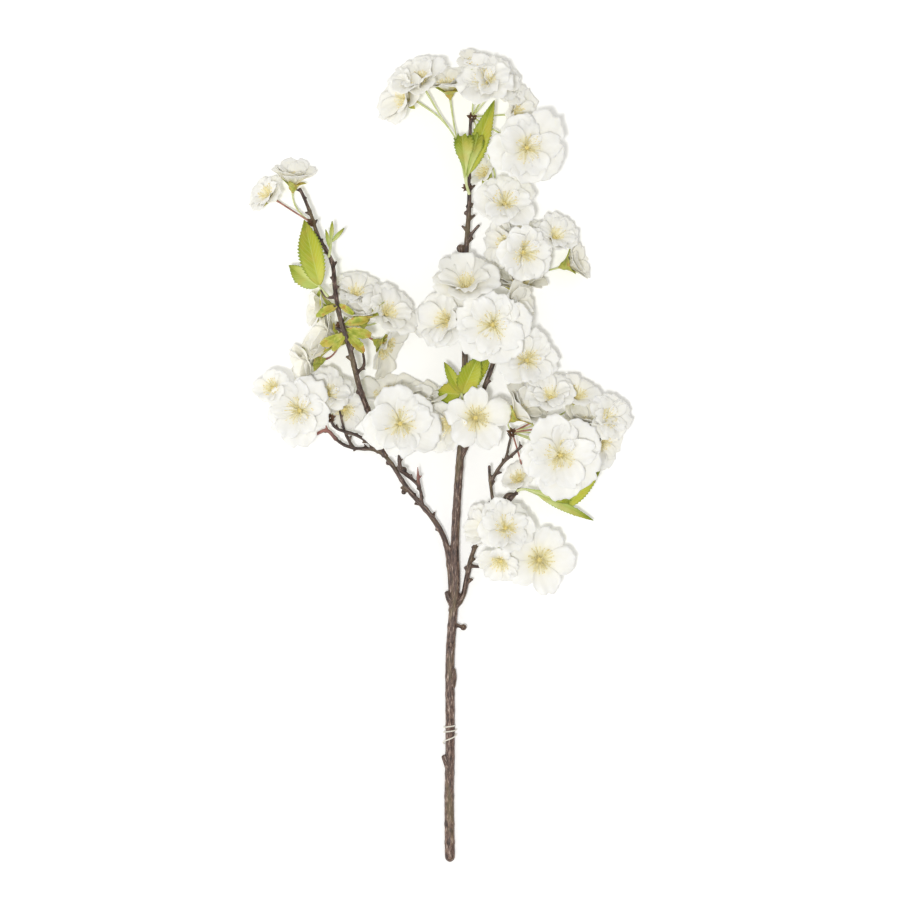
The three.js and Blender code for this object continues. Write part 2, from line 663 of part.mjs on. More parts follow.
// Each bunch: the spur that its stalks spring from, and its flowers by centre, radius, facing
// and form. The facing is the heading of the flower's axis round +Z and its lean away from +Z.
// A `joined` flower is pressed against the one before it, and the two are one solid. `turn`
// sets the heading of a flower's first petal, and a `single` flower keeps its outer ring alone.
const BUNCHES = {
  top: {
    spur: [22.5, 238.5, 20],
    blooms: [
      bloom([32, 262, 36], 21, [120, 30], 'full'),
      bloom([24, 275, 27], 13, [90, 55], 'open', JOINED),
      bloom([40, 260, 24], 22, [35, 45], 'open'),
      bloom([54, 241, 15], 18, [0, 50], 'open', JOINED),
      bloom([61, 215, 38], 27, [-40, 12], 'full'),
      bloom([31, 199, 20], 11, [150, 50], 'open'),
    ],
  },
  top_left: {
    spur: [18.6, 189, 20.5],
    blooms: [
      bloom([-25, 252, 17], 22, [168, 55], 'open'),
      bloom([-14, 264, 25], 20, [120, 48], 'open', JOINED),
      bloom([6, 261, 16], 21, [97, 64], 'open'),
    ],
  },
  upper: {
    spur: [55, 129, 18],
    blooms: [
      bloom([45.5, 177.5, 32], 21, [70, 22], 'full'),
      bloom([59, 142.5, 34], 22, [-30, 22], 'full'),
      bloom([46, 149.5, 17], 18, [190, 45], 'open'),
      bloom([54, 158, 20], 18, [70, 60], 'half', JOINED),
      bloom([81, 154.5, 24], 17, [60, 35], 'open'),
      bloom([95, 137, 12], 15, [18, 66], 'half'),
      bloom([56, 120, 13], 22, [86, 66], 'open'),
    ],
  },
  middle: {
    spur: [41, 76, 24],
    blooms: [
      bloom([36.5, 91.5, 42], 26, [250, 10], 'full', { turn: 10 }),
      bloom([52, 104.5, 35], 19, [10, 62], 'half', JOINED),
      bloom([61.5, 67.5, 28], 22, [30, 15], 'full'),
    ],
  },
  middle_left: {
    spur: [15.3, 103, 22],
    blooms: [
      bloom([18, 120.5, 34], 23, [95, 42], 'open'),
      bloom([3.5, 95.5, 25], 22, [170, 30], 'open'),
    ],
  },
  centre: {
    spur: [16, 14, 21.5],
    blooms: [
      bloom([25, 27, 36], 22, [0, 5], 'full', { turn: 18, single: true }),
      bloom([5, 22, 25], 19, [205, 42], 'open', JOINED),
      bloom([-12, 40, 20], 17, [88, 64], 'half'),
    ],
  },
  inner: {
    spur: [-37, 5, 19.5],
    blooms: [
      bloom([-27.5, 23, 38], 27, [0, 5], 'full'),
      bloom([-36, 42, 16], 24, [92, 56], 'open'),
    ],
  },
  left: {
    spur: [-77, 27, 22],
    blooms: [
      bloom([-98.5, 32, 34], 24, [200, 10], 'full', { turn: 60 }),
      bloom([-117, 48, 34], 13, [140, 30], 'open', JOINED),
      bloom([-78.5, 44.5, 24], 17, [80, 25], 'full'),
      bloom([-67, 32.5, 14], 15, [-60, 30], 'open'),
    ],
  },
  riser: {
    spur: [-69.5, 91.5, 44],
    blooms: [
      bloom([-54.5, 100, 34], 14, [95, 58], 'half'),
      bloom([-59, 115, 22], 17, [80, 40], 'open'),
      bloom([-36.5, 101, 24], 21, [45, 40], 'open'),
      bloom([-39, 77, 17], 20, [-32, 68], 'open'),
      bloom([-80, 84, 18], 21, [165, 72], 'half'),
      bloom([-84, 105, 21], 15, [178, 70], 'half', JOINED),
      bloom([-94, 65, 9], 18, [196, 70], 'half'),
    ],
  },
  crown: {
    spur: [-90.5, 164, 28],
    blooms: [
      bloom([-121, 184, 17], 15, [148, 52], 'full'),
      bloom([-103, 198, 12], 16, [85, 62], 'half'),
    ],
  },
  right: {
    spur: [50.5, 17, 26],
    blooms: [
      bloom([84, 0.5, 42], 29, [-90, 8], 'full'),
      bloom([77.5, 42.5, 32], 17, [95, 35], 'open'),
      bloom([96, 43, 27], 15, [70, 45], 'open', JOINED),
      bloom([117.5, 27, 26], 17, [15, 30], 'full'),
      bloom([103, 25, 22], 18, [80, 58], 'half'),
      bloom([114, 9.5, 8.5], 18, [-25, 52], 'open'),
      bloom([58, 33, 32], 19, [42, 60], 'half'),
      bloom([55.5, -15.5, 14], 12, [130, 40], 'open'),
    ],
  },
  low: {
    spur: [27.5, -55.5, 19.5],
    blooms: [
      bloom([46, -49.5, 30], 20, [80, 15], 'full'),
      bloom([30, -49, 22], 15, [170, 52], 'half', JOINED),
      bloom([70, -72.5, 24], 22, [0, 5], 'full', { turn: 68, single: true }),
      bloom([42, -74, 28], 14, [-110, 35], 'open'),
    ],
  },
};

const TUFTS = {
  leaves_top: {
    stalk: [[20.5, 184, 22], [18.5, 191, 25], [18.5, 197, 27]],
    blades: [
      { base: [17.8, 196, 27], tip: [11, 227, 33], width: 18, lift: 5, fold: 0.4, roll: -10 },
      { base: [19.4, 196, 27.5], tip: [32.5, 226, 31], width: 17, lift: 5, fold: 0.4, roll: 12, teeth: 3 },
      { base: [18.7, 197, 26], tip: [38, 249, 32], width: 14, lift: -8, fold: 0.3, roll: 0 },
    ],
  },
  leaves_left: {
    stalk: [[-78, 111.5, 42], [-81, 115, 38], [-84.5, 119.5, 35]],
    blades: [
      { base: [-84, 119.5, 35], tip: [-95, 165.5, 27], width: 19, lift: 5, fold: 0.35, roll: 12 },
      { base: [-85, 118.5, 34.5], tip: [-106, 134, 22], width: 14, lift: 1, fold: 0.4, roll: 20, teeth: 3 },
    ],
  },
  shoot: {
    stalk: [[-77.5, 139, 36], [-76.5, 146, 34], [-76, 152, 32]],
    blades: [
      { base: [-76.5, 145, 34], tip: [-80, 159, 27], width: 4, lift: 0, fold: 0.3, roll: 0, teeth: 1 },
      { base: [-76, 151, 32], tip: [-75.5, 165, 26], width: 4, lift: 0, fold: 0.3, roll: 0, teeth: 1 },
      { base: [-75.5, 150, 32], tip: [-67, 160, 27], width: 4, lift: 0, fold: 0.3, roll: 0, teeth: 1 },
    ],
  },
  leaves_middle: {
    stalk: [[17, 36, 23], [15.5, 41, 25], [15, 45, 26]],
    blades: [
      { base: [14.5, 44.5, 26.5], tip: [3, 66, 26], width: 8, lift: 3, fold: 0.3, roll: 0, teeth: 3 },
      { base: [15.5, 44.5, 26.5], tip: [26, 70, 32], width: 13, lift: 5, fold: 0.45, roll: -10, teeth: 3 },
      { base: [16, 44, 25.5], tip: [36, 71.5, 25], width: 12, lift: 1, fold: 0.4, roll: 10, teeth: 3 },
      { base: [14.2, 43.5, 25.5], tip: [-1, 47, 20], width: 12, lift: 2, fold: 0.4, roll: 0, teeth: 3 },
    ],
  },
  leaves_right: {
    stalk: [[54, -24, 21.5], [57.5, -23, 23], [61, -23, 24]],
    blades: [
      { base: [60, -23.7, 23.6], tip: [108, -45, 12], width: 9, lift: 6, fold: 0.3, roll: 0, teeth: 5 },
      { base: [60.5, -22.7, 24], tip: [110.5, -12, 24], width: 8, lift: 2, fold: 0.3, roll: 0 },
    ],
  },
};

// ---- Assembly -----------------------------------------------------------------------------

const FINISHES = {
  wood: { color: 0x5a4638, roughness: 0.75, metalness: 0 },
  thread: { color: 0xf4f2ea, roughness: 0.8, metalness: 0 },
  stalk: { color: 0x9cab45, roughness: 0.6, metalness: 0 },
  petal: { color: 0xf6f3e8, roughness: 0.7, metalness: 0 },
  leaf: { color: 0x93b834, roughness: 0.6, metalness: 0 },
};

const sprig = new THREE.Group();
const standing = [];

/** Adds a piece, cut clear of every piece that is already standing. */
function place(name, finish, build) {
  const whole = build(0);
  const cut = standing
    .filter((other) => boxesMeet(whole, other))
    .reduce((left, other) => left.subtract(other), whole);
  const body = largestBody(cut.simplify(SLIVER));
  standing.push(build(GAP));
  const mesh = new THREE.Mesh(geometryOf(body), new THREE.MeshStandardMaterial(FINISHES[finish]));
  mesh.name = name;
  sprig.add(mesh);
}

place('stem', 'wood', wood);
place('tie', 'thread', thread);
for (const [name, bunch] of Object.entries(BUNCHES)) {
  place(`stalks_${name}`, 'stalk', (clearance) => stalks(bunch, clearance));
}
let seed = 0;
for (const [name, bunch] of Object.entries(BUNCHES)) {
  const groups = [];
  for (const each of bunch.blooms) {
    seed += 1;
    const seededBloom = { ...each, seed };
    if (each.joined) groups.at(-1).push(seededBloom);
    else groups.push([seededBloom]);
  }
  groups.forEach((group, number) => {
    const build = (clearance) => fused(group.map((each) => flower(each, clearance)));
    place(`bloom_${name}_${number + 1}`, 'petal', build);
  });
}
for (const [name, leaves] of Object.entries(TUFTS)) {
  place(name, 'leaf', (clearance) => tuft(leaves, clearance));
}

export default sprig;
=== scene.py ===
"""A sprig of double white cherry blossom, cut from the tree and laid on its side.

Metres, +Z up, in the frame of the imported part. Sizes in the tables below are millimetres and
angles there are degrees. The sprig lies on the floor z = 0 with its butt towards -Y. Every part
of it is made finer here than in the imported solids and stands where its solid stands.
"""
import logging
import math
import random
from collections.abc import Callable
from dataclasses import dataclass, field, replace
from enum import Enum
from functools import partial

import bpy
import numpy as np
from mathutils import Matrix, Vector, kdtree


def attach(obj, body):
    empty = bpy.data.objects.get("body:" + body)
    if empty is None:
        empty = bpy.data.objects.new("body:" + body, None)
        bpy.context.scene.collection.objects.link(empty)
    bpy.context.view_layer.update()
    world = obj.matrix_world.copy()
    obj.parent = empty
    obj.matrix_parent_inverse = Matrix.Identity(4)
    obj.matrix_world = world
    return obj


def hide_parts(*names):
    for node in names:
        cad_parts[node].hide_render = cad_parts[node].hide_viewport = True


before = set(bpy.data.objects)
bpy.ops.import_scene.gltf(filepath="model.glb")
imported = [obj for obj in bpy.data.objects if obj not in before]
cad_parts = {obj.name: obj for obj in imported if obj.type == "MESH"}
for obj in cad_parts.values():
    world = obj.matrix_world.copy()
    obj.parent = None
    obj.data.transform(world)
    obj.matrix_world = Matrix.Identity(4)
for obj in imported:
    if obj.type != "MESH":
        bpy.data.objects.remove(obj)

Array = np.ndarray
Material = bpy.types.Material
Mesh = bpy.types.Mesh
Piece = bpy.types.Object
Socket = bpy.types.NodeSocket
Tree = bpy.types.NodeTree
Spot = tuple[float, float, float]

MM = 0.001
TURN = 2 * math.pi
LOOSE_PHASE = 6.28  # a random wave starts anywhere in about a turn
LOG = logging.getLogger("sprig")

CUP_LENGTH = 5.5  # green cup under a flower, down to its stalk
CUP_RADIUS = 3.1
STALK_RADIUS = 0.8
PETAL_THICKNESS = 0.28
SEPAL_THICKNESS = 0.4
LEAF_THICKNESS = 0.45
SCALE_THICKNESS = 0.35
EDGE_SHARE = 0.55  # a sheet's thickness at its edge, as a share
LIE_CLOTH, LIE_SEPAL, LIE_STAMEN, LIE_STALK = 4.0, 2.0, 1.5, 1.2  # under this, pieces flatten out
FLOOR_GAP = 0.25  # and stay this far above the floor
LOWEST = 0.02  # no corner goes lower
BETWEEN = 24  # points of a curve between two that it runs through, before they are evened out
SLANTED = (0.3, 0.2, 1.0)  # a direction along which no curve starts
CAP_RISE = 0.5  # how far a tube's end stands out, as a share of its radius
TINY = 1e-9  # keeps a division from zero

# First number of the random draws of each kind of piece.
PETAL_DRAWS, STALK_DRAWS, BRACT_DRAWS, LIMB_DRAWS, BUD_DRAWS, LEAF_DRAWS = 1000, 500, 40, 70, 300, 900


# ---- Small helpers --------------------------------------------------------------------------


def linear(code: str) -> tuple[float, float, float, float]:
    """Turns an sRGB hex colour to linear RGBA.

    Args:
        code: The colour, such as "#fafaf8".

    Returns:
        Its red, green and blue, and full alpha.
    """
    parts = [int(code.lstrip("#")[i:i + 2], 16) / 255 for i in (0, 2, 4)]
    turned = [c / 12.92 if c <= 0.04045 else ((c + 0.055) / 1.055) ** 2.4 for c in parts]
    return (turned[0], turned[1], turned[2], 1.0)


def scale_of(size: float) -> float:
    """Noise scale, on coordinates in metres, whose patches are size millimetres across."""
    return 1 / (size * MM)


def add_node(tree: Tree, kind: str, links: dict | None = None, out: int | str = 0,
             stops: list[tuple[float, str]] | None = None, **settings: object) -> Socket | None:
    """Adds a node with its settings and links.

    Args:
        tree: The node tree that it goes in.
        kind: Its type name.
        links: Input name or number to a value, or to the socket or list of sockets that feed it.
        out: Name or number of the output to give.
        stops: Positions and colours of a colour ramp.
        settings: The node's own properties.

    Returns:
        The output, if the node has any.
    """
    node = tree.nodes.new(kind)
    for name, value in settings.items():
        setattr(node, name, value)
    for name, value in (links or {}).items():
        if isinstance(value, (Socket, list)):
            for source in value if isinstance(value, list) else [value]:
                tree.links.new(source, node.inputs[name])
        else:
            node.inputs[name].default_value = value
    if stops:
        band = node.color_ramp.elements
        while len(band) < len(stops):
            band.new(0.5)
        for element, (position, code) in zip(band, stops):
            element.position = position
            element.color = linear(code)
    return node.outputs[out] if node.outputs else None


def smooth(x: Array | float, low: float, high: float) -> Array | float:
    """Eases from 0 at low to 1 at high."""
    t = np.clip((x - low) / (high - low), 0, 1)
    return t * t * (3 - 2 * t)


def unit(vectors: Array) -> Array:
    """Brings vectors to length 1."""
    return vectors / np.maximum(np.linalg.norm(vectors, axis=-1), TINY)[..., None]


def run_along(points: Array) -> Array:
    """Length of a path up to each of its points."""
    return np.concatenate([[0], np.cumsum(np.linalg.norm(np.diff(points, axis=0), axis=1))])


def put(points: Array, place: Matrix) -> Array:
    """Moves points to a place."""
    matrix = np.array(place)
    return points @ matrix[:3, :3].T + matrix[:3, 3]


def spin(radial: Array, lateral: Array, up: Array, angle: float) -> Array:
    """Points at a distance out from the axis Z, across and up, turned round it by an angle."""
    c, s = math.cos(angle), math.sin(angle)
    return np.stack([radial * c - lateral * s, radial * s + lateral * c, up], -1)


def lie_down(points: Array, height: float = LIE_CLOTH) -> Array:
    """Presses what would sink through the floor flat against it.

    Args:
        points: Corners in millimetres, any shape ending in 3.
        height: Where the pressing starts.

    Returns:
        The corners, all above the floor.
    """
    out = points.copy()
    low = out[..., 2] < height
    room = height - FLOOR_GAP
    out[..., 2][low] = FLOOR_GAP + room * np.exp((out[..., 2][low] - height) / room)
    return out


def curve_points(path: Array, count: int) -> Array:
    """Even points on a smooth curve through a path.

    Args:
        path: Points that it runs through.
        count: How many points to give.

    Returns:
        The points, evenly spaced along the curve.
    """
    path = np.asarray(path, float)
    knots = np.concatenate([[0], np.cumsum(np.linalg.norm(np.diff(path, axis=0), axis=1) ** 0.5)])
    before, after = 2 * path[0] - path[1], 2 * path[-1] - path[-2]
    wide = np.vstack([before, path, after])
    t = np.concatenate([[-knots[1]], knots, [2 * knots[-1] - knots[-2]]])
    dense = []
    for i in range(1, len(wide) - 2):
        u = np.linspace(t[i], t[i + 1], BETWEEN, endpoint=i == len(wide) - 3)[:, None]
        p = wide[i - 1:i + 3]
        q = t[i - 1:i + 3]
        a = [(p[k] * (q[k + 1] - u) + p[k + 1] * (u - q[k])) / (q[k + 1] - q[k]) for k in range(3)]
        b = [(a[k] * (q[k + 2] - u) + a[k + 1] * (u - q[k])) / (q[k + 2] - q[k]) for k in range(2)]
        dense.append((b[0] * (q[2] - u) + b[1] * (u - q[1])) / (q[2] - q[1]))
    dense = np.vstack(dense)
    run = run_along(dense)
    even = np.linspace(0, run[-1], count)
    return np.column_stack([np.interp(even, run, dense[:, k]) for k in range(3)])


def bezier(start: Array, middle: Array, end: Array, share: Array) -> Array:
    """Points on a quadratic curve at the given shares of it."""
    s = np.asarray(share)[:, None]
    return (1 - s) ** 2 * start + 2 * s * (1 - s) * middle + s ** 2 * end


def frames_along(points: Array) -> tuple[Array, Array]:
    """Two directions across a curve at each of its points, turning as little as they can.

    Args:
        points: The curve's points.

    Returns:
        The two directions at each point.
    """
    tangents = unit(np.gradient(points, axis=0))
    side = np.cross(tangents[0], SLANTED)
    ones, others = [], []
    for tangent in tangents:
        side = side - tangent * (side @ tangent)
        side = side / np.linalg.norm(side)
        ones.append(side)
        others.append(np.cross(tangent, side))
    return np.array(ones), np.array(others)


def corners_of(mesh: Mesh) -> Array:
    """Reads a mesh's corners.

    Args:
        mesh: A mesh in metres.

    Returns:
        Its corners in millimetres.
    """
    spots = np.zeros(len(mesh.vertices) * 3)
    mesh.vertices.foreach_get("co", spots)
    return spots.reshape(-1, 3) / MM


def store(mesh: Mesh, name: str, values: Array) -> None:
    """Stores a number or a vector on each corner of a mesh.

    Args:
        mesh: The mesh.
        name: The attribute's name.
        values: One number or three for each corner.
    """
    kind, key = ("FLOAT", "value") if values.ndim == 1 else ("FLOAT_VECTOR", "vector")
    layer = mesh.attributes.new(name, kind, "POINT")
    layer.data.foreach_set(key, values.astype(np.float32).ravel())


def show(name: str, data: bpy.types.ID) -> Piece:
    """Puts a mesh, a lamp or a camera in the scene.

    Args:
        name: Name of the object.
        data: What it holds.

    Returns:
        The object.
    """
    obj = bpy.data.objects.new(name, data)
    bpy.context.scene.collection.objects.link(obj)
    return obj


def evaluated(obj: Piece) -> Mesh:
    """The plain mesh that an object's modifiers make."""
    graph = bpy.context.evaluated_depsgraph_get()
    return bpy.data.meshes.new_from_object(obj.evaluated_get(graph), depsgraph=graph)


def settle(obj: Piece, slot: str | None, *nodes: str) -> Piece:
    """Fixes a finished piece to the body and reports it.

    Args:
        obj: The piece.
        slot: Not used.
        nodes: The nodes that it stands for.

    Returns:
        The piece.
    """
    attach(obj, "root")
    if nodes:
        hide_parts(*nodes)
    obj.data.calc_loop_triangles()
    LOG.info("%s: %d triangles", obj.name, len(obj.data.loop_triangles))
    return obj


@dataclass
class Shell:
    """Corners and faces of one piece, with a place on the surface and a tone for each corner."""

    corners: list[Array] = field(default_factory=list)
    places: list[Array] = field(default_factory=list)
    tones: list[Array] = field(default_factory=list)
    faces: list[tuple] = field(default_factory=list)
    flat: list[bool] = field(default_factory=list)
    looks: list[int] = field(default_factory=list)
    count: int = 0

    def span(self, faces: list, first: int, look: int, flat: bool = False) -> None:
        """Adds faces between corners that the shell has.

        Args:
            faces: Corner numbers of each face, counted from first.
            first: Number of the first of those corners.
            look: Number of the finish.
            flat: Whether the faces keep hard edges.
        """
        self.faces.extend([tuple(first + i for i in face) for face in faces])
        self.flat.extend([flat] * len(faces))
        self.looks.extend([look] * len(faces))

    def add(self, corners: Array, faces: list, places: Array | None = None, tone: float = 0.0,
            look: int = 0) -> int:
        """Adds corners and the faces between them.

        Args:
            corners: Corner positions in millimetres.
            faces: Corner numbers of each face, counted within corners.
            places: Place of each corner on the surface, across and along.
            tone: A number from 0 to 1 that varies the finish.
            look: Number of the finish.

        Returns:
            The number of the first corner.
        """
        first = self.count
        self.corners.append(corners)
        self.places.append(np.zeros((len(corners), 2)) if places is None else places)
        self.tones.append(np.full(len(corners), tone))
        self.span(faces, first, look)
        self.count += len(corners)
        return first

    def sheet(self, grid: Array, thickness: float, tone: float = 0.0, look: int = 0) -> None:
        """Adds a closed thin sheet round a grid of points.

        Args:
            grid: Points of the middle surface, rows along it and columns across.
            thickness: Its thickness, which thins towards the edge.
            tone: A number from 0 to 1 that varies the finish.
            look: Number of the finish.
        """
        rows, cols = grid.shape[:2]
        normal = unit(np.cross(np.gradient(grid, axis=0), np.gradient(grid, axis=1)))
        half = np.full((rows, cols, 1), thickness / 2)
        half[:, [0, -1]] *= EDGE_SHARE
        half[-1] *= EDGE_SHARE
        corners = np.vstack([(grid + normal * half).reshape(-1, 3), (grid - normal * half).reshape(-1, 3)])
        corners[:, 2] = np.maximum(corners[:, 2], LOWEST)
        across, along = np.meshgrid(np.linspace(0, 1, cols), np.linspace(0, 1, rows))
        places = np.tile(np.column_stack([across.ravel(), along.ravel()]), (2, 1))
        number = np.arange(rows * cols).reshape(rows, cols)
        a, b, c, d = number[:-1, :-1], number[1:, :-1], number[1:, 1:], number[:-1, 1:]
        front = np.stack([a, b, c, d], -1).reshape(-1, 4)
        back = front[:, ::-1] + rows * cols
        loop = [*number[:-1, 0], *number[-1, :-1], *number[:0:-1, -1], *number[0, :0:-1]]
        rim = [(q, p, p + rows * cols, q + rows * cols) for p, q in zip(loop, loop[1:] + loop[:1])]
        first = self.add(corners, [*map(tuple, front), *map(tuple, back)], places, tone, look)
        self.span(rim, first, look, True)

    def tube(self, points: Array, radii: Array, sides: int, tone: float = 0.0, look: int = 0,
             ripple: Array | float = 0.0) -> None:
        """Adds a closed round tube along a curve.

        Args:
            points: The curve that it follows.
            radii: Its radius at each point.
            sides: Corners round it.
            tone: A number from 0 to 1 that varies the finish.
            look: Number of the finish.
            ripple: Share of the radius to add at each point and side.
        """
        one, other = frames_along(points)
        angle = np.arange(sides) / sides * TURN
        reach = radii[:, None] * (1 + ripple)
        rings = (points[:, None] + one[:, None] * (np.cos(angle) * reach)[..., None]
                 + other[:, None] * (np.sin(angle) * reach)[..., None])
        along = run_along(points)
        tangent = [points[0] - points[1], points[-1] - points[-2]]
        tips = [p + t / np.linalg.norm(t) * r * CAP_RISE
                for p, t, r in zip(points[[0, -1]], tangent, radii[[0, -1]])]
        corners = np.vstack([rings.reshape(-1, 3), tips])
        corners[:, 2] = np.maximum(corners[:, 2], LOWEST)
        across, run = np.meshgrid(np.arange(sides) / sides, along)
        places = np.vstack([np.column_stack([across.ravel(), run.ravel()]), [[0, 0], [0, along[-1]]]])
        number = np.arange(len(points) * sides).reshape(len(points), sides)
        ahead = np.roll(number, -1, axis=1)
        walls = np.stack([number[:-1], ahead[:-1], ahead[1:], number[1:]], -1).reshape(-1, 4)
        low, high = len(corners) - 2, len(corners) - 1
        caps = [(low, ahead[0, i], number[0, i]) for i in range(sides)]
        caps += [(high, number[-1, i], ahead[-1, i]) for i in range(sides)]
        self.add(corners, [*map(tuple, walls), *caps], places, tone, look)

    def copy_of(self, mesh: Mesh, place: Matrix) -> None:
        """Adds a copy of a mesh in metres, moved to a place in millimetres."""
        moved = corners_of(mesh) @ np.array(place.to_3x3()).T + np.array(place.translation)
        self.add(lie_down(moved, LIE_STAMEN), [tuple(p.vertices) for p in mesh.polygons])

    def piece(self, name: str, finishes: list[Material]) -> Piece:
        """Makes the object in metres, with its place map and tone.

        Args:
            name: Its name.
            finishes: Its materials, in the order of their numbers.

        Returns:
            The object.
        """
        mesh = bpy.data.meshes.new(name)
        mesh.from_pydata(np.vstack(self.corners) * MM, [], self.faces)
        loops = np.zeros(len(mesh.loops), np.int32)
        mesh.loops.foreach_get("vertex_index", loops)
        layer = mesh.uv_layers.new(name="Place")
        layer.data.foreach_set("uv", np.vstack(self.places)[loops].astype(np.float32).ravel())
        store(mesh, "tone", np.concatenate(self.tones))
        mesh.polygons.foreach_set("use_smooth", [not flat for flat in self.flat])
        mesh.polygons.foreach_set("material_index", self.looks)
        for finish in finishes:
            mesh.materials.append(finish)
        mesh.update()
        return show(name, mesh)


# ---- Finishes -------------------------------------------------------------------------------

# Types of the nodes that the finishes use most, and the settings of a Mix node for colours. Its
# share, first and second colour are inputs 0, 6 and 7, and its result is output 2.
ATTRIBUTE, BUMP, COORD = "ShaderNodeAttribute", "ShaderNodeBump", "ShaderNodeTexCoord"
MATH, MIX, NOISE, RAMP = "ShaderNodeMath", "ShaderNodeMix", "ShaderNodeTexNoise", "ShaderNodeValToRGB"
COVER = {"out": 2, "data_type": "RGBA"}
TINT = {"out": 2, "data_type": "RGBA", "blend_type": "MULTIPLY"}
OFF_ON = ("#000000", "#ffffff")
GLOW_REACH = 1.0 * MM  # how far light spreads in a thin sheet, a little less for blue
GLOW_TINT = (1.0, 0.95, 0.8)


@dataclass(frozen=True)
class Finish:
    """A Principled material to which each kind of finish adds its own colours and relief."""

    name: str
    roughness: float
    ior: float = 1.5
    sheen: float = 0.0
    glow: float = 0.0  # share of light that spreads in the piece before it leaves

    def make(self) -> Material:
        """Builds the material.

        Returns:
            The material, with its colour and relief linked.
        """
        material = bpy.data.materials.new(self.name)
        material.use_nodes = True
        tree = material.node_tree
        shader = tree.nodes["Principled BSDF"].inputs
        for name, value in (("Roughness", self.roughness), ("IOR", self.ior), ("Sheen Weight", self.sheen),
                            ("Subsurface Weight", self.glow), ("Subsurface Radius", GLOW_TINT),
                            ("Subsurface Scale", GLOW_REACH)):
            shader[name].default_value = value
        colour, relief = self.paint(partial(add_node, tree))
        tree.links.new(colour, shader["Base Color"])
        tree.links.new(relief, shader["Normal"])
        return material

    def paint(self, node: Callable[..., Socket]) -> tuple[Socket, Socket]:
        """Adds the colour and relief nodes; each finish has its own."""
        raise NotImplementedError


@dataclass(frozen=True)
class PolyesterPetal(Finish):
    """Stiffened polyester cloth, heat-pressed to a petal: matt white with fine pressed creases.

    The throat keeps a breath of green, and the cloth is faintly ivory by its tone: painted shade, deeper on
    flowers that lean sideways, varied at random from petal to petal.
    """

    def paint(self, node: Callable[..., Socket]) -> tuple[Socket, Socket]:
        """Colours by the place on the petal and by its tone, which carries painted shade, and raises creases
        along it.

        Args:
            node: Adds a node to the material.

        Returns:
            The colour and the relief.
        """
        place = node("ShaderNodeUVMap", uv_map="Place")
        body = node(RAMP, {0: node("ShaderNodeSeparateXYZ", {0: place}, "Y")}, stops=[
            (0.0, "#f7f1c6"), (0.12, "#f9f4d4"), (0.26, "#fbf8e6"), (0.45, "#fbfaf4"), (1.0, "#fafaf8")])
        tone = node(ATTRIBUTE, out="Fac", attribute_name="tone")
        # Painted shade: a high tone, given to flowers that lean sideways, tints the cloth a duller ivory.
        shade = node(RAMP, {0: tone}, stops=[(0.0, "#ffffff"), (0.5, "#fefdfa"), (1.0, "#faf7ea")])
        toned = node(MIX, {0: 1.0, 6: body, 7: shade}, **TINT)
        where = node(COORD, out="Object")
        cloud = node(NOISE, {"Vector": where, "Scale": scale_of(5.5556), "Detail": 3.0})
        mottle = node(RAMP, {0: cloud}, stops=[(0.35, "#fbfaf6"), (0.65, "#ffffff")])
        colour = node(MIX, {0: 0.6, 6: toned, 7: mottle}, **TINT)
        # Pressed creases run up the petal about 1.2 mm apart, 13 across its width. The weave is drawn
        # twice as coarse as it is, so that it shows.
        stretched = node("ShaderNodeMapping", {"Vector": place, "Scale": (13.0, 2.2, 1.0)})
        crease = node(NOISE, {"Vector": stretched, "Scale": 1.0, "Detail": 4.0, "Roughness": 0.6})
        weave = node(NOISE, {"Vector": where, "Scale": scale_of(0.41667), "Detail": 1.0})
        both = node(MIX, {0: 0.22, 2: crease, 3: weave})
        return colour, node(BUMP, {"Height": both, "Distance": 0.5 * MM, "Strength": 0.5})


@dataclass(frozen=True)
class MouldedBark(Finish):
    """Plastic bark moulded over wire: brown with pale dry-brushed streaks, darker in the twigs."""

    def paint(self, node: Callable[..., Socket]) -> tuple[Socket, Socket]:
        """Streaks the colour along the limb and raises the same streaks.

        Args:
            node: Adds a node to the material.

        Returns:
            The colour and the relief.
        """
        grain = node(ATTRIBUTE, out="Vector", attribute_name="grain")  # in millimetres
        age = node(ATTRIBUTE, out="Fac", attribute_name="age")
        streak = node(NOISE, {"Vector": grain, "Scale": 1 / 0.95238, "Detail": 7.0, "Roughness": 0.7})
        patch = node(NOISE, {"Vector": grain, "Scale": 1 / 4.5455, "Detail": 2.0})
        old = node(RAMP, {0: streak}, stops=[
            (0.38, "#271a16"), (0.46, "#553e35"), (0.53, "#75594b"), (0.59, "#9c8473"), (0.67, "#dccbc0")])
        young = node(RAMP, {0: streak}, stops=[
            (0.38, "#1d1411"), (0.48, "#40302a"), (0.56, "#5d483f"), (0.66, "#a08b7d")])
        wood = node(MIX, {0: age, 6: old, 7: young}, **COVER)
        moss = node(RAMP, {0: patch}, stops=list(zip((0.52, 0.68), OFF_ON)))
        share = node(MATH, {0: moss, 1: 0.42}, operation="MULTIPLY")
        mossy = node(MIX, {0: share, 6: wood, 7: linear("#7a6d44")}, **COVER)
        past = node(MATH, {0: age, 1: 1.0}, operation="SUBTRACT", use_clamp=True)  # a red tip
        colour = node(MIX, {0: past, 6: mossy, 7: linear("#b5766c")}, **COVER)
        return colour, node(BUMP, {"Height": streak, "Distance": 0.6 * MM, "Strength": 0.7})


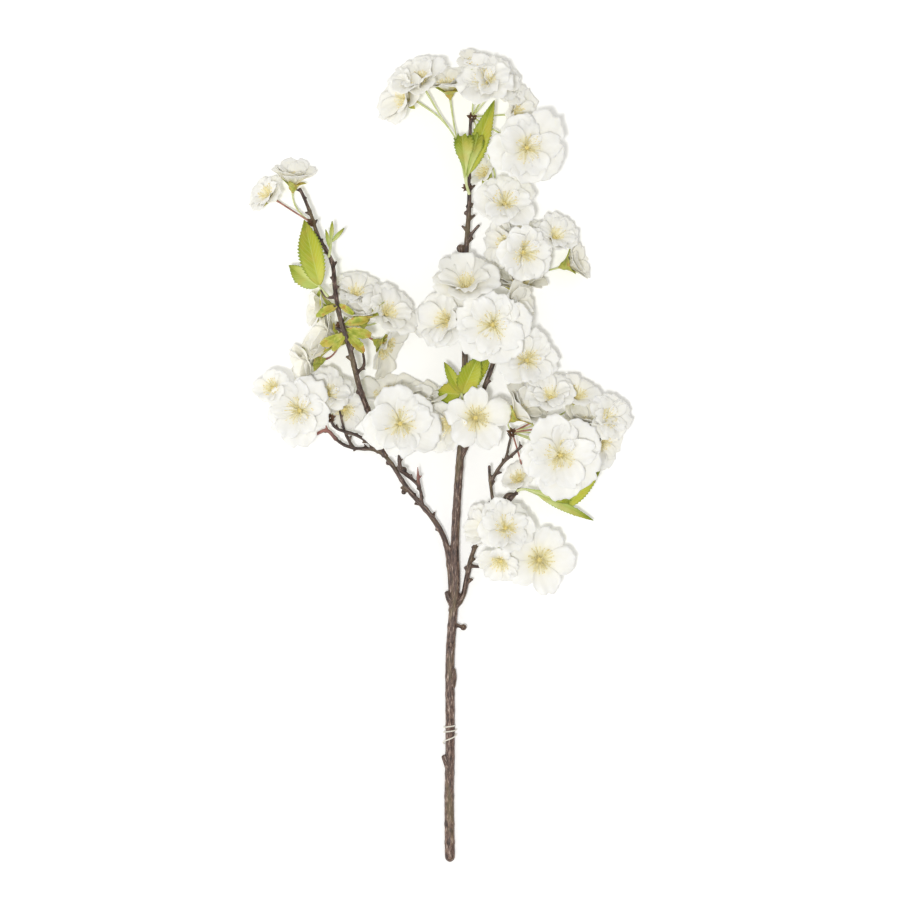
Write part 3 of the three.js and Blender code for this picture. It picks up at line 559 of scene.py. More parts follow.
@dataclass(frozen=True)
class MouldedGreen(Finish):
    """Soft moulded plastic of the cups and stalks: yellow-green, washed with ochre or red."""

    def paint(self, node: Callable[..., Socket]) -> tuple[Socket, Socket]:
        """Takes green, pale or red by the piece's tone, in a soft mottle.

        Args:
            node: Adds a node to the material.

        Returns:
            The colour and the relief.
        """
        tone = node(ATTRIBUTE, out="Fac", attribute_name="tone")
        where = node(COORD, out="Object")
        cloud = node(NOISE, {"Vector": where, "Scale": scale_of(4.5455), "Detail": 3.0})
        green = node(RAMP, {0: cloud}, stops=[
            (0.32, "#96a33a"), (0.46, "#b3ba4a"), (0.56, "#c9ca66"), (0.66, "#c79d4c")])
        pale = node(RAMP, {0: cloud}, stops=[(0.35, "#c2cc86"), (0.65, "#dbe0b0")])
        red = node(RAMP, {0: cloud}, stops=[(0.35, "#8d5650"), (0.65, "#b98476")])
        is_stalk = node(MATH, {0: tone, 1: 0.25}, operation="GREATER_THAN")
        is_red = node(MATH, {0: tone, 1: 0.75}, operation="GREATER_THAN")
        wash = node(NOISE, {"Vector": where, "Scale": scale_of(10.5263), "Detail": 1.0})
        ripe = node(RAMP, {0: wash}, stops=list(zip((0.53, 0.64), OFF_ON)))
        part = node(MATH, {0: ripe, 1: 0.5}, operation="MULTIPLY")
        green = node(MIX, {0: part, 6: green, 7: linear("#c9a948")}, **COVER)
        first = node(MIX, {0: is_stalk, 6: green, 7: pale}, **COVER)
        colour = node(MIX, {0: is_red, 6: first, 7: red}, **COVER)
        fine = node(NOISE, {"Vector": where, "Scale": scale_of(0.66667), "Detail": 2.0})
        return colour, node(BUMP, {"Height": fine, "Distance": 0.1 * MM, "Strength": 0.5})


@dataclass(frozen=True)
class PrintedLeaf(Finish):
    """Waxed cloth printed as a leaf: fresh yellow-green, with pale veins and a darker edge."""

    def paint(self, node: Callable[..., Socket]) -> tuple[Socket, Socket]:
        """Draws the rib, the side veins and the darker edge by the place on the blade.

        Args:
            node: Adds a node to the material.

        Returns:
            The colour and the relief.
        """
        split = node("ShaderNodeSeparateXYZ", {0: node("ShaderNodeUVMap", uv_map="Place")}).node.outputs
        off = node(MATH, {0: split["X"], 1: 0.5}, operation="SUBTRACT")
        out = node(MATH, {0: off}, operation="ABSOLUTE")
        base = node(RAMP, {0: split["Y"]}, stops=[
            (0.0, "#d4d66a"), (0.3, "#c4c640"), (0.75, "#b0b62e"), (1.0, "#879427")])
        young = node(RAMP, {0: split["Y"]}, stops=[(0.42, "#ffffff"), (0.85, "#000000")])
        tone = node(ATTRIBUTE, out="Fac", attribute_name="tone")
        pale = node(MATH, {0: young, 1: tone}, operation="MULTIPLY")
        base = node(MIX, {0: pale, 6: base, 7: linear("#dfe6a4")}, **COVER)
        edge = node(RAMP, {0: out}, stops=[(0.38, "#ffffff"), (0.5, "#9cbc74")])
        toned = node(MIX, {0: 0.7, 6: base, 7: edge}, **TINT)
        half = node(RAMP, {0: split["X"]}, stops=[(0.40, "#ffffff"), (0.62, "#d8e6b4")])
        toned = node(MIX, {0: 0.8, 6: toned, 7: half}, **TINT)
        # Side veins slant up from the rib, eleven from base to tip.
        slant = node(MATH, {0: out, 1: -0.55, 2: split["Y"]}, operation="MULTIPLY_ADD")
        wave = node(MATH, {0: slant, 1: 11.0}, operation="MULTIPLY")
        tooth = node(MATH, {0: wave, 1: 0.5}, operation="PINGPONG")
        vein = node(RAMP, {0: tooth}, stops=[(0.0, "#ffffff"), (0.11, "#000000")])
        rib = node(RAMP, {0: out}, stops=[(0.012, "#ffffff"), (0.035, "#000000")])
        lines = node(MATH, {0: vein, 1: rib}, operation="MAXIMUM")
        faint = node(MATH, {0: lines, 1: 0.5}, operation="MULTIPLY")
        veined = node(MIX, {0: faint, 6: toned, 7: linear("#cfe07c")}, **COVER)
        cloud = node(NOISE, {"Vector": node(COORD, out="Object"), "Scale": scale_of(11.1111), "Detail": 4.0})
        patch = node(RAMP, {0: cloud}, stops=list(zip((0.50, 0.68), OFF_ON)))
        part = node(MATH, {0: patch, 1: 0.45}, operation="MULTIPLY")
        colour = node(MIX, {0: part, 6: veined, 7: linear("#c9b44a")}, **COVER)
        return colour, node(BUMP, {"Height": lines, "Distance": 0.25 * MM, "Strength": 0.6})


@dataclass(frozen=True)
class Mottled(Finish):
    """A dyed or moulded surface in two near colours, in patches of a given size."""

    light: str = "#ffffff"
    dark: str = "#dddddd"
    patch_mm: float = 1.0
    relief_mm: float = 0.1

    def paint(self, node: Callable[..., Socket]) -> tuple[Socket, Socket]:
        """Mixes the two colours by noise and raises the same noise.

        Args:
            node: Adds a node to the material.

        Returns:
            The colour and the relief.
        """
        cloud = node(NOISE, {"Vector": node(COORD, out="Object"), "Scale": scale_of(self.patch_mm),
                             "Detail": 3.0})
        colour = node(RAMP, {0: cloud}, stops=[(0.35, self.dark), (0.65, self.light)])
        return colour, node(BUMP, {"Height": cloud, "Distance": self.relief_mm * MM, "Strength": 0.6})


@dataclass
class Finishes:
    """Every finish of the sprig, each made once."""

    petal: Material = field(default_factory=PolyesterPetal(
        "polyester_petal_heat_pressed", 0.72, 1.45, 0.15, 0.25).make)
    bark: Material = field(default_factory=MouldedBark("plastic_bark_moulded", 0.42).make)
    green: Material = field(default_factory=MouldedGreen("plastic_calyx_moulded", 0.5).make)
    leaf: Material = field(default_factory=PrintedLeaf(
        "waxed_cloth_leaf_printed", 0.5, 1.45, 0.0, 0.1).make)
    # Drawn nylon, dyed in the mass: thin even threads with a slight shine.
    filament: Material = field(default_factory=Mottled(
        "nylon_filament_dyed", 0.45, 1.53, 0.0, 0.0, "#fdf8da", "#f7edb6", 2.0).make)
    # Flock on a dab of glue: a dusty matt yellow grain.
    anther: Material = field(default_factory=Mottled(
        "anther_tip_flocked", 0.85, 1.5, 0.2, 0.0, "#f4e39e", "#ebd37e", 0.4, 0.12).make)
    # Soft moulded plastic: a dull pale yellow button.
    heart: Material = field(default_factory=Mottled(
        "flower_heart_moulded", 0.7, 1.5, 0.0, 0.0, "#f0e4a4", "#e0cd7c", 0.5).make)
    # Brown moulded plastic: dry, finely ridged scales.
    scale: Material = field(default_factory=Mottled(
        "bud_scale_moulded", 0.6, 1.5, 0.0, 0.0, "#7b5a3f", "#4a3227", 0.9, 0.2).make)
    # Spun cotton: a soft, fuzzy white, mottled at random with a duller cream.
    thread: Material = field(default_factory=Mottled(
        "cotton_thread_spun", 0.9, 1.5, 0.3, 0.0, "#faf8f0", "#e2dccb", 0.25, 0.12).make)


# ---- Flowers --------------------------------------------------------------------------------


class Form(Enum):
    """How far a flower has opened."""

    FULL = "full"
    OPEN = "open"
    HALF = "half"


@dataclass(frozen=True)
class Ring:
    """One ring of petals: length as a share of the flower's radius, angles from its axis."""

    length: float
    rise: float
    spread: float
    petals: int = 5
    width: float = 0.5
    crumple: float = 1.0


DEPTH = {Form.FULL: 0.2, Form.OPEN: 0.25, Form.HALF: 0.5}  # from a flower's centre down to its foot
RINGS = {
    Form.FULL: [Ring(1.12, 52, 98, 5, 0.47, 0.85), Ring(0.98, 44, 88, 5, 0.38, 1.1),
                Ring(0.62, 34, 84, 3, 0.26, 1.6)],
    Form.OPEN: [Ring(1.18, 44, 92, 5, 0.48, 0.8), Ring(1.0, 34, 78, 4, 0.38, 1.1)],
    Form.HALF: [Ring(1.33, 34, 72, 5, 0.5, 0.7), Ring(1.2, 20, 52, 3, 0.4, 0.9)],
}
SINGLE = [Ring(1.15, 58, 96, 5, 0.405, 0.9)]  # of an open flower with one ring
SMALL = 16.5  # a flower of a smaller radius has fewer rings
FIRST_RING, RING_STEP = 0.4, 0.7  # height of the outermost ring on the axis, and from each to the next
LENGTHS = (0.88, 1.05)  # petals of a ring differ in length by these factors
OLDER = (35, 60)  # between these leans a flower turns from fresh to older
CALM = 0.45  # share by which an older flower's petals ripple less

ROWS, COLS = 15, 14  # of the grid under a petal
WIDEST = 0.66  # share of its length at which a petal is widest
FOOT_WIDTH = 0.12  # its width at the foot, as a share of the widest
FOOT_OFF = 0.9  # distance of its foot from the flower's axis
RIPPLE, BUCKLE, PLEAT, CURL = 0.062, 0.022, 0.013, 0.05  # heights of its folds, as shares of its length


@dataclass(frozen=True)
class Brush:
    """A flower's stamens: how many, length as a share of its radius, lean, and height of their foot."""

    count: int
    length: float
    lean: float
    foot: float


CLOSED_BRUSH = Brush(16, 0.5, 0.25, 1.6)
THIN_BRUSH = Brush(36, 0.44, 1.0, 2.3)
FULL_BRUSH = Brush(72, 0.44, 1.0, 2.3)
BROAD = 17  # a flower of a larger radius has the full brush
HEART_FOOT, HEART_HEIGHT, HEART_RADIUS, HEART_TOP = -0.4, 3.6, 2.4, 0.3  # the dome under the stamens


@dataclass(frozen=True)
class Bloom:
    """One flower: centre, radius, heading and lean of its axis, and how far it has opened.

    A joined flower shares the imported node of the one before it. Turn sets the heading of its first
    petal, and a single flower has one ring of petals.
    """

    centre: Spot
    radius: float
    face: tuple[float, float]
    form: Form
    joined: bool = False
    turn: float | None = None
    single: bool = False

    def axis(self) -> Vector:
        """Unit vector along which the flower faces."""
        turn, lean = (math.radians(a) for a in self.face)
        return Vector((math.sin(lean) * math.cos(turn), math.sin(lean) * math.sin(turn), math.cos(lean)))

    def place(self) -> Matrix:
        """Works out the flower's frame.

        Returns:
            The frame in millimetres: origin at the foot of the petals, Z along its axis.
        """
        foot = Vector(self.centre) - self.axis() * DEPTH[self.form] * self.radius
        turn = Vector((0, 0, 1)).rotation_difference(self.axis())
        return Matrix.Translation(foot) @ turn.to_matrix().to_4x4()

    def rings(self) -> list[Ring]:
        """Chooses the flower's rings of petals.

        Returns:
            The rings from the outermost in.
        """
        rings = RINGS[self.form]
        if self.single:
            rings = SINGLE if self.form is Form.FULL else rings[:1]
        return rings if self.radius >= SMALL else rings[:1 if self.form is Form.OPEN else 2]

    def brush(self) -> Brush:
        """Chooses the flower's stamens."""
        return CLOSED_BRUSH if self.form is Form.HALF else FULL_BRUSH if self.radius > BROAD else THIN_BRUSH


def first_turn(seed: int) -> float:
    """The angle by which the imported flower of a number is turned.

    Args:
        seed: The flower's number.

    Returns:
        The angle in radians, up to a fifth of a turn, from the first draw of a small generator.
    """
    mask, step = 0xFFFFFFFF, 0x6D2B79F5
    state = (seed + step) & mask
    mixed = ((state ^ (state >> 15)) * (state | 1)) & mask
    mixed ^= (mixed + (((mixed ^ (mixed >> 7)) * (mixed | 61)) & mask)) & mask
    return ((mixed ^ (mixed >> 14)) & mask) / 2 ** 32 * TURN / 5


def petal_grid(ring: Ring, length: float, angle: float, base: float, order: int,
               dice: random.Random) -> Array:
    """The middle surface of one petal, in its flower's frame.

    Args:
        ring: The ring that it belongs to.
        length: Its length.
        angle: Heading of its middle line round the axis.
        base: Height of its foot on the axis.
        order: Its place in the overlap, 0 for the lowest.
        dice: Random numbers of this flower.

    Returns:
        A grid of points, rows up the petal and columns across.
    """
    along = np.linspace(0.04, 1, ROWS)[:, None] ** 0.9
    side = np.linspace(-1, 1, COLS)[None, :]
    phase = [dice.uniform(0, TURN) for _ in range(6)]
    # Outline: notched and frayed at the tip, widest above the middle, drawn in to the foot.
    notch = dice.uniform(0.02, 0.11) * np.exp(-((side - dice.uniform(-0.15, 0.15)) / 0.16) ** 2)
    tip = 1 - 0.26 * np.abs(side) ** 2.6 - notch
    tip = tip + 0.028 * np.sin(7 * side + phase[0]) + 0.018 * np.sin(15 * side + phase[1])
    share = along * tip
    half = length * ring.width * dice.uniform(0.93, 1.08)
    grow = np.sin(math.pi / 2 * np.clip(share / WIDEST, 0, 1)) ** 1.4
    close = np.sqrt(np.clip(1 - 0.55 * (np.clip(share - WIDEST, 0, 1) / 0.45) ** 2, 0, 1))
    reach = side * half * (FOOT_WIDTH + (1 - FOOT_WIDTH) * grow) * close
    # Middle line: an arc from the rise at its foot to the spread at its tip.
    rise = math.radians(ring.rise + dice.uniform(-4, 4) - order * 1.5)
    spread = math.radians(ring.spread + dice.uniform(-6, 6) - order * 4.0)
    slope = rise + (spread - rise) * share
    bend = (spread - rise) / length
    out = FOOT_OFF + (math.cos(rise) - np.cos(slope)) / bend
    height = base + (np.sin(slope) - math.sin(rise)) / bend
    # Across it: a cup at the foot, then ripples at the rim, buckles, pleats and a curl at the tip.
    cup = (0.8 - 0.7 * share + dice.uniform(-0.15, 0.2)) / half
    lateral = np.sin(cup * reach) / cup
    lift = (1 - np.cos(cup * reach)) / cup
    lift = lift + reach * dice.uniform(-0.07, 0.07)
    rim = np.abs(side) ** 3 * smooth(share, 0.2, 0.7) + smooth(share / tip, 0.62, 1.0) * 0.8
    wave = (0.6 * np.sin(4.4 * side + 2.5 * share + phase[1]) + 0.35 * np.sin(9 * side + phase[2])
            + 0.5 * np.abs(side) ** 2 * np.sin(8.5 * share + phase[3]))
    fine = 0.12 * np.sin(17 * side + 3 * share + phase[3]) * smooth(np.abs(side) + share / tip, 0.9, 1.6)
    buckle = np.sin(5 * share + phase[4])
    lift = lift + RIPPLE * length * ring.crumple * (rim * wave + fine)
    lift = lift + BUCKLE * length * ring.crumple * buckle * np.cos(3.4 * side + phase[5])
    lift = lift + PLEAT * length * ring.crumple * np.sin(10 * side + phase[0]) * smooth(share, 0.15, 0.55)
    lift = lift - CURL * length * smooth(share, 0.72, 1.0) * dice.uniform(0.0, 1.6)
    return spin(out - lift * np.cos(slope), lateral, height + lift * np.sin(slope), angle)


def started(name: str, sizes: dict[str, float]) -> tuple[Tree, bpy.types.bpy_prop_collection]:
    """Starts a Geometry Nodes tree.

    Args:
        name: Its name.
        sizes: Names and usual values of its inputs, beside the geometry.

    Returns:
        The tree and its inputs by name.
    """
    tree = bpy.data.node_groups.new(name, "GeometryNodeTree")
    for way in ("INPUT", "OUTPUT"):
        tree.interface.new_socket("Geometry", in_out=way, socket_type="NodeSocketGeometry")
    for size, value in sizes.items():
        kind = "NodeSocketInt" if isinstance(value, int) else "NodeSocketFloat"
        tree.interface.new_socket(size, in_out="INPUT", socket_type=kind).default_value = value
    return tree, add_node(tree, "NodeGroupInput").node.outputs


def grown(tree: Tree, carrier: Mesh | None = None, **sizes: float) -> Mesh:
    """Runs a Geometry Nodes tree on a carrier and gives the plain mesh that it makes.

    Args:
        tree: The tree to run.
        carrier: Points that the tree starts from, if it needs any.
        sizes: Values for its named inputs.

    Returns:
        The finished mesh.
    """
    blank = show("blank", carrier or bpy.data.meshes.new("blank"))
    modifier = blank.modifiers.new("grow", "NODES")
    modifier.node_group = tree
    sockets = {item.name: item.identifier for item in tree.interface.items_tree if item.in_out == "INPUT"}
    for name, value in sizes.items():
        modifier[sockets[name]] = value
    mesh = evaluated(blank)
    bpy.data.objects.remove(blank)
    return mesh


@dataclass
class StamenTree:
    """Geometry Nodes tree of a tuft of stamens round a flower's axis."""

    filament: Material
    anther: Material
    foot: float = 1.5 * MM  # radius of the ring on which they stand
    bow: Spot = (0.13, 0.0, 0.52)  # where a thread's middle is pulled to, as a share of its length
    pod: Spot = (1.25, 0.8, 0.85)  # an anther's length, width and height against a ball's
    crowding: float = 0.65  # under 1, more of the threads lean far out
    sizes: dict[str, float] = field(default_factory=lambda: {
        "Count": 18, "Length": 9 * MM, "Thickness": 0.24 * MM, "Anther": 0.42 * MM, "Lean": 0.5, "Seed": 1})

    def build(self) -> Tree:
        """Makes the tree: threads on a ring, leaning out at random, with an anther on each tip.

        Returns:
            The tree.
        """
        tree, size = started("stamens", self.sizes)
        node = partial(add_node, tree)
        ring = node("GeometryNodeMeshCircle", {"Vertices": size["Count"], "Radius": self.foot})
        middle = node("ShaderNodeVectorMath", {0: self.bow, "Scale": size["Length"]}, operation="SCALE")
        high = node("ShaderNodeCombineXYZ", {"Z": size["Length"]})
        line = node("GeometryNodeCurveQuadraticBezier", {
            "Resolution": 4, "Start": (0, 0, 0), "Middle": middle, "End": high})
        round_ = node("GeometryNodeCurvePrimitiveCircle", {"Resolution": 5, "Radius": size["Thickness"]})
        rod = node("GeometryNodeCurveToMesh", {"Curve": line, "Profile Curve": round_, "Fill Caps": True})
        ball = node("GeometryNodeMeshIcoSphere", {"Radius": size["Anther"], "Subdivisions": 1})
        pod = node("GeometryNodeTransform", {"Geometry": ball, "Translation": high, "Scale": self.pod})
        pod = node("GeometryNodeStoreNamedAttribute", {"Geometry": pod, "Name": "pollen", "Value": 1.0},
                   domain="FACE")
        both = node("GeometryNodeJoinGeometry", {0: [rod, pod]})
        which = node("GeometryNodeInputIndex")
        around = node(MATH, {0: which, 1: size["Count"]}, operation="DIVIDE")
        angle = node(MATH, {0: around, 1: TURN}, operation="MULTIPLY")
        jitter, depth, grow = [
            node("FunctionNodeRandomValue", {2: low, 3: high_, "Seed": size["Seed"]}, 1, data_type="FLOAT")
            for low, high_ in ((-0.5, 0.5), (0.0, 1.0), (0.62, 1.08))]
        heading = node(MATH, {0: angle, 1: jitter}, operation="ADD")
        spread = node(MATH, {0: depth, 1: self.crowding}, operation="POWER")
        lean = node(MATH, {0: spread, 1: size["Lean"]}, operation="MULTIPLY")
        euler = node("ShaderNodeCombineXYZ", {"Y": lean, "Z": heading})
        tuft = node("GeometryNodeInstanceOnPoints", {
            "Points": ring, "Instance": both, "Rotation": euler, "Scale": grow})
        real = node("GeometryNodeRealizeInstances", {0: tuft})
        pollen = node("GeometryNodeInputNamedAttribute", {"Name": "pollen"}, data_type="FLOAT")
        plain = node("GeometryNodeSetMaterial", {"Geometry": real, "Material": self.filament})
        done = node("GeometryNodeSetMaterial", {"Geometry": plain, "Selection": pollen,
                                                "Material": self.anther})
        node("NodeGroupOutput", {0: done})
        return tree


PALE_TONE, RED_TONE = 0.5, 0.9  # of a stalk
LEANING = 50  # a flower that leans more shows longer sepals
GOLDEN = 2.4  # the turn in radians from one bud scale to the next, as they grow


@dataclass
class Bunch:
    """Flowers whose stalks spring from one spur.

    The sheath is where its stalks leave a leaf that is rolled round them. Leafy is the size of its
    sepals against the usual one, and the bracts are small blades round its spur.
    """

    name: str
    spur: Spot
    blooms: list[Bloom]
    first_seed: int
    sheath: Spot | None = None
    leafy: float = 1.0
    bracts: list["Blade"] = field(default_factory=list)
    bud_scales: int = 11
    spur_radius: float = 1.5
    stalk_rows: int = 22
    stalk_sides: int = 9
    stalk_share: float = 0.78  # a stalk's radius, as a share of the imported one's
    swell: float = 0.35  # how much thicker it is where it meets the cup
    red_share: float = 0.3
    bow: tuple[float, float] = (0.35, 12)  # how far a stalk bows: share of its length, and the most
    cup_sides: int = 12
    sepals: int = 5
    sepal_reach: tuple[float, float, float] = (7.0, 11.5, 13.0)  # upright, leaning and half open
    sepal_width: float = 0.3
    sepal_foot: tuple[float, float] = (1.9, -2.2)  # off the axis, and down from the petals
    letting_go: tuple[int, ...] = (0, 3, 6, 26)  # degrees by which a sepal leaves its petal

    def flower(self, shell: Shell, bloom: Bloom, seed: int) -> None:
        """Adds a flower's petals to a shell.

        Args:
            shell: The shell of the piece.
            bloom: The flower.
            seed: Its number.
        """
        dice = random.Random(PETAL_DRAWS + seed)
        turn = first_turn(seed) if bloom.turn is None else math.radians(bloom.turn)
        loose = 0.2 if bloom.turn is None else 0.07
        shade = min(1.0, 0.2 + bloom.face[1] / 100)  # painted shade: flowers that lean sideways get a duller ivory tone
        calm = 1 - CALM * smooth(bloom.face[1], *OLDER)
        for level, ring in enumerate(bloom.rings()):
            ring = replace(ring, crumple=ring.crumple * calm)
            for petal in range(ring.petals):
                angle = turn + (petal + 0.5 * level) * TURN / ring.petals + dice.uniform(-loose, loose)
                length = bloom.radius * ring.length * dice.uniform(*LENGTHS)
                order = petal * 3 % ring.petals if ring.petals == 5 else petal
                grid = petal_grid(ring, length, angle, FIRST_RING + RING_STEP * level, order, dice)
                shell.sheet(lie_down(put(grid, bloom.place())), PETAL_THICKNESS,
                            shade * dice.uniform(0.55, 1.0))

    def petals(self, looks: Finishes) -> list[Piece]:
        """Makes one piece of petals for each of the bunch's packed flowers.

        Args:
            looks: The finishes.

        Returns:
            The pieces.
        """
        made, groups = [], []
        for seed, bloom in enumerate(self.blooms, self.first_seed):
            if not bloom.joined:
                groups.append([])
            groups[-1].append((bloom, seed))
        for number, group in enumerate(groups, 1):
            shell = Shell()
            for bloom, seed in group:
                self.flower(shell, bloom, seed)
            piece = shell.piece(f"petals_{self.name}_{number}", [looks.petal])
            made.append(settle(piece, "petal", f"bloom_{self.name}_{number}"))
        return made

    def stamens(self, tree: Tree, looks: Finishes) -> Piece:
        """Makes the stamens and hearts of all the bunch's flowers.

        Args:
            tree: The Geometry Nodes tree of a tuft.
            looks: The finishes.

        Returns:
            The piece.
        """
        shell = Shell()
        for seed, bloom in enumerate(self.blooms, self.first_seed):
            brush = bloom.brush()
            mesh = grown(tree, Count=brush.count, Length=bloom.radius * brush.length * MM, Lean=brush.lean,
                         Seed=seed)
            first = len(shell.faces)
            shell.copy_of(mesh, bloom.place() @ Matrix.Translation((0, 0, brush.foot)))
            tips = mesh.materials.find(looks.anther.name)
            shell.looks[first:] = [int(p.material_index == tips) for p in mesh.polygons]
            up = np.linspace(0, 1, 6)
            dome = put(np.column_stack([0 * up, 0 * up, HEART_FOOT + HEART_HEIGHT * up]), bloom.place())
            radii = HEART_TOP + HEART_RADIUS * np.sqrt(np.clip(1 - up ** 2, 0, 1))
            shell.tube(lie_down(dome, LIE_STAMEN), radii, self.cup_sides, look=2)
        piece = shell.piece(f"stamens_{self.name}", [looks.filament, looks.anther, looks.heart])
        return settle(piece, None)

    def stalk_path(self, bloom: Bloom) -> Array:
        """Leads a flower's stalk from the spur to the foot of its cup.

        Args:
            bloom: The flower.

        Returns:
            Points of the stalk.
        """
        foot = np.array(bloom.place() @ Vector((0, 0, -CUP_LENGTH)))
        spur = np.array(self.spur)
        swing = min(np.linalg.norm(foot - spur) * self.bow[0], self.bow[1])
        bow = foot - np.array(bloom.axis()) * swing
        bow[2] = max(bow[2], STALK_RADIUS + 0.3)
        if self.sheath:
            path = np.vstack([spur, self.sheath, (2 * bow + self.sheath) / 3, foot])
            return curve_points(path, self.stalk_rows)
        start = spur + (bow - spur) / max(np.linalg.norm(bow - spur), TINY) * self.spur_radius
        return bezier(start, bow, foot, np.linspace(0, 1, self.stalk_rows))

    def stalks(self, looks: Finishes) -> Piece:
        """Makes the stalks, cups and sepals of the bunch, and the bracts and bud scales at its spur.

        Args:
            looks: The finishes.

        Returns:
            The piece.
        """
        shell = Shell()
        dice = random.Random(STALK_DRAWS + self.first_seed)
        swell = 1 + self.swell * smooth(np.linspace(0, 1, self.stalk_rows), 0.8, 1.0)
        for bloom in self.blooms:
            tone = RED_TONE if dice.random() < self.red_share else PALE_TONE
            path = lie_down(self.stalk_path(bloom), LIE_STALK)
            shell.tube(path, STALK_RADIUS * self.stalk_share * swell, self.stalk_sides, tone=tone)
            self.calyx(shell, bloom, dice)
        for number, bract in enumerate(self.bracts):
            grid = lie_down(bract.grid(BRACT_DRAWS + number)[:, ::-1])
            shell.sheet(grid, LEAF_THICKNESS, 0.03 * number)
        for number in range(self.bud_scales):
            self.bud_scale(shell, number, dice)
        piece = shell.piece(f"stalks_of_{self.name}", [looks.green, looks.scale])
        return settle(piece, "stalk", f"stalks_{self.name}")

    def calyx(self, shell: Shell, bloom: Bloom, dice: random.Random) -> None:
        """Adds a flower's green cup and its five pointed sepals.

        Args:
            shell: The shell of the piece.
            bloom: The flower.
            dice: Random numbers of this bunch.
        """
        share = np.linspace(0, 1, 10)
        line = np.column_stack([0 * share, 0 * share, -CUP_LENGTH + share * (CUP_LENGTH - 0.3)])
        radii = STALK_RADIUS + (CUP_RADIUS - STALK_RADIUS) * smooth(share, 0.05, 0.8) ** 0.8 + 0.1
        shell.tube(lie_down(put(line, bloom.place()), LIE_STALK), radii, self.cup_sides)
        rows = 11
        along = np.linspace(0, 1, rows)[:, None]
        side = np.linspace(-1, 1, 6)[None, :]
        upright, leaning, closed = self.sepal_reach
        reach = closed if bloom.form is Form.HALF else leaning if bloom.face[1] > LEANING else upright
        reach *= self.leafy
        outline = np.sin(math.pi * (0.2 + 0.8 * along) ** 0.85) ** 0.9
        outer = RINGS[bloom.form][0]
        for number in range(self.sepals):
            angle = (number + 0.5) * TURN / self.sepals + dice.uniform(-0.12, 0.12)
            length = reach * dice.uniform(0.75, 1.25)
            width = self.sepal_width * self.leafy ** 0.5 * reach * outline + 0.06
            # A sepal follows the outer petals that it carries; some have let go and droop.
            loose = dice.choice(self.letting_go)
            droop = np.radians(outer.rise - 3 + ((outer.spread - outer.rise) * length / 26 + loose) * along)
            out = self.sepal_foot[0] + np.cumsum(np.sin(droop), axis=0) * length / rows
            high = self.sepal_foot[1] + np.cumsum(np.cos(droop), axis=0) * length / rows
            lateral = side * width
            lift = 0.16 * lateral ** 2 + 0.02 * length * np.sin(6 * along + number) * side
            grid = spin(out - lift * np.cos(droop), lateral, high + lift * np.sin(droop), angle)
            shell.sheet(lie_down(put(grid, bloom.place()), LIE_SEPAL), SEPAL_THICKNESS, dice.random() * 0.2)

    def bud_scale(self, shell: Shell, number: int, dice: random.Random) -> None:
        """Adds one brown scale of the bud from which the stalks spring.

        Args:
            shell: The shell of the piece.
            number: Its number, from the middle out.
            dice: Random numbers of this bunch.
        """
        along = np.linspace(0.02, 1, 7)[:, None]
        side = np.linspace(-1, 1, 5)[None, :]
        lean = math.radians(25 + 7 * number)
        width = 1.5 * np.sin(math.pi * (0.3 + 0.7 * along)) + 0.1
        out = 0.5 + along * 3.6 * math.sin(lean)
        high = -1.2 + along * 4.2 * math.cos(lean)
        lateral = side * width
        grid = spin(out - 0.28 * lateral ** 2, lateral, high * np.ones_like(side), number * GOLDEN)
        mean = np.mean([b.axis() for b in self.blooms], axis=0)
        turn = Vector((0, 0, 1)).rotation_difference(Vector(mean)).to_matrix()
        placed = lie_down(grid @ np.array(turn).T + np.array(self.spur), LIE_STALK)
        shell.sheet(placed, SCALE_THICKNESS, dice.random(), 1)


# ---- Wood -----------------------------------------------------------------------------------


@dataclass(frozen=True)
class Limb:
    """A limb: the points it runs through, its radius from end to end and its age at both ends.

    An age of 0 is old wood and 1 a young twig; above 1 the bark turns red.
    """

    path: list[Spot]
    radii: list[float]
    age: tuple[float, float] = (0.8, 1.0)


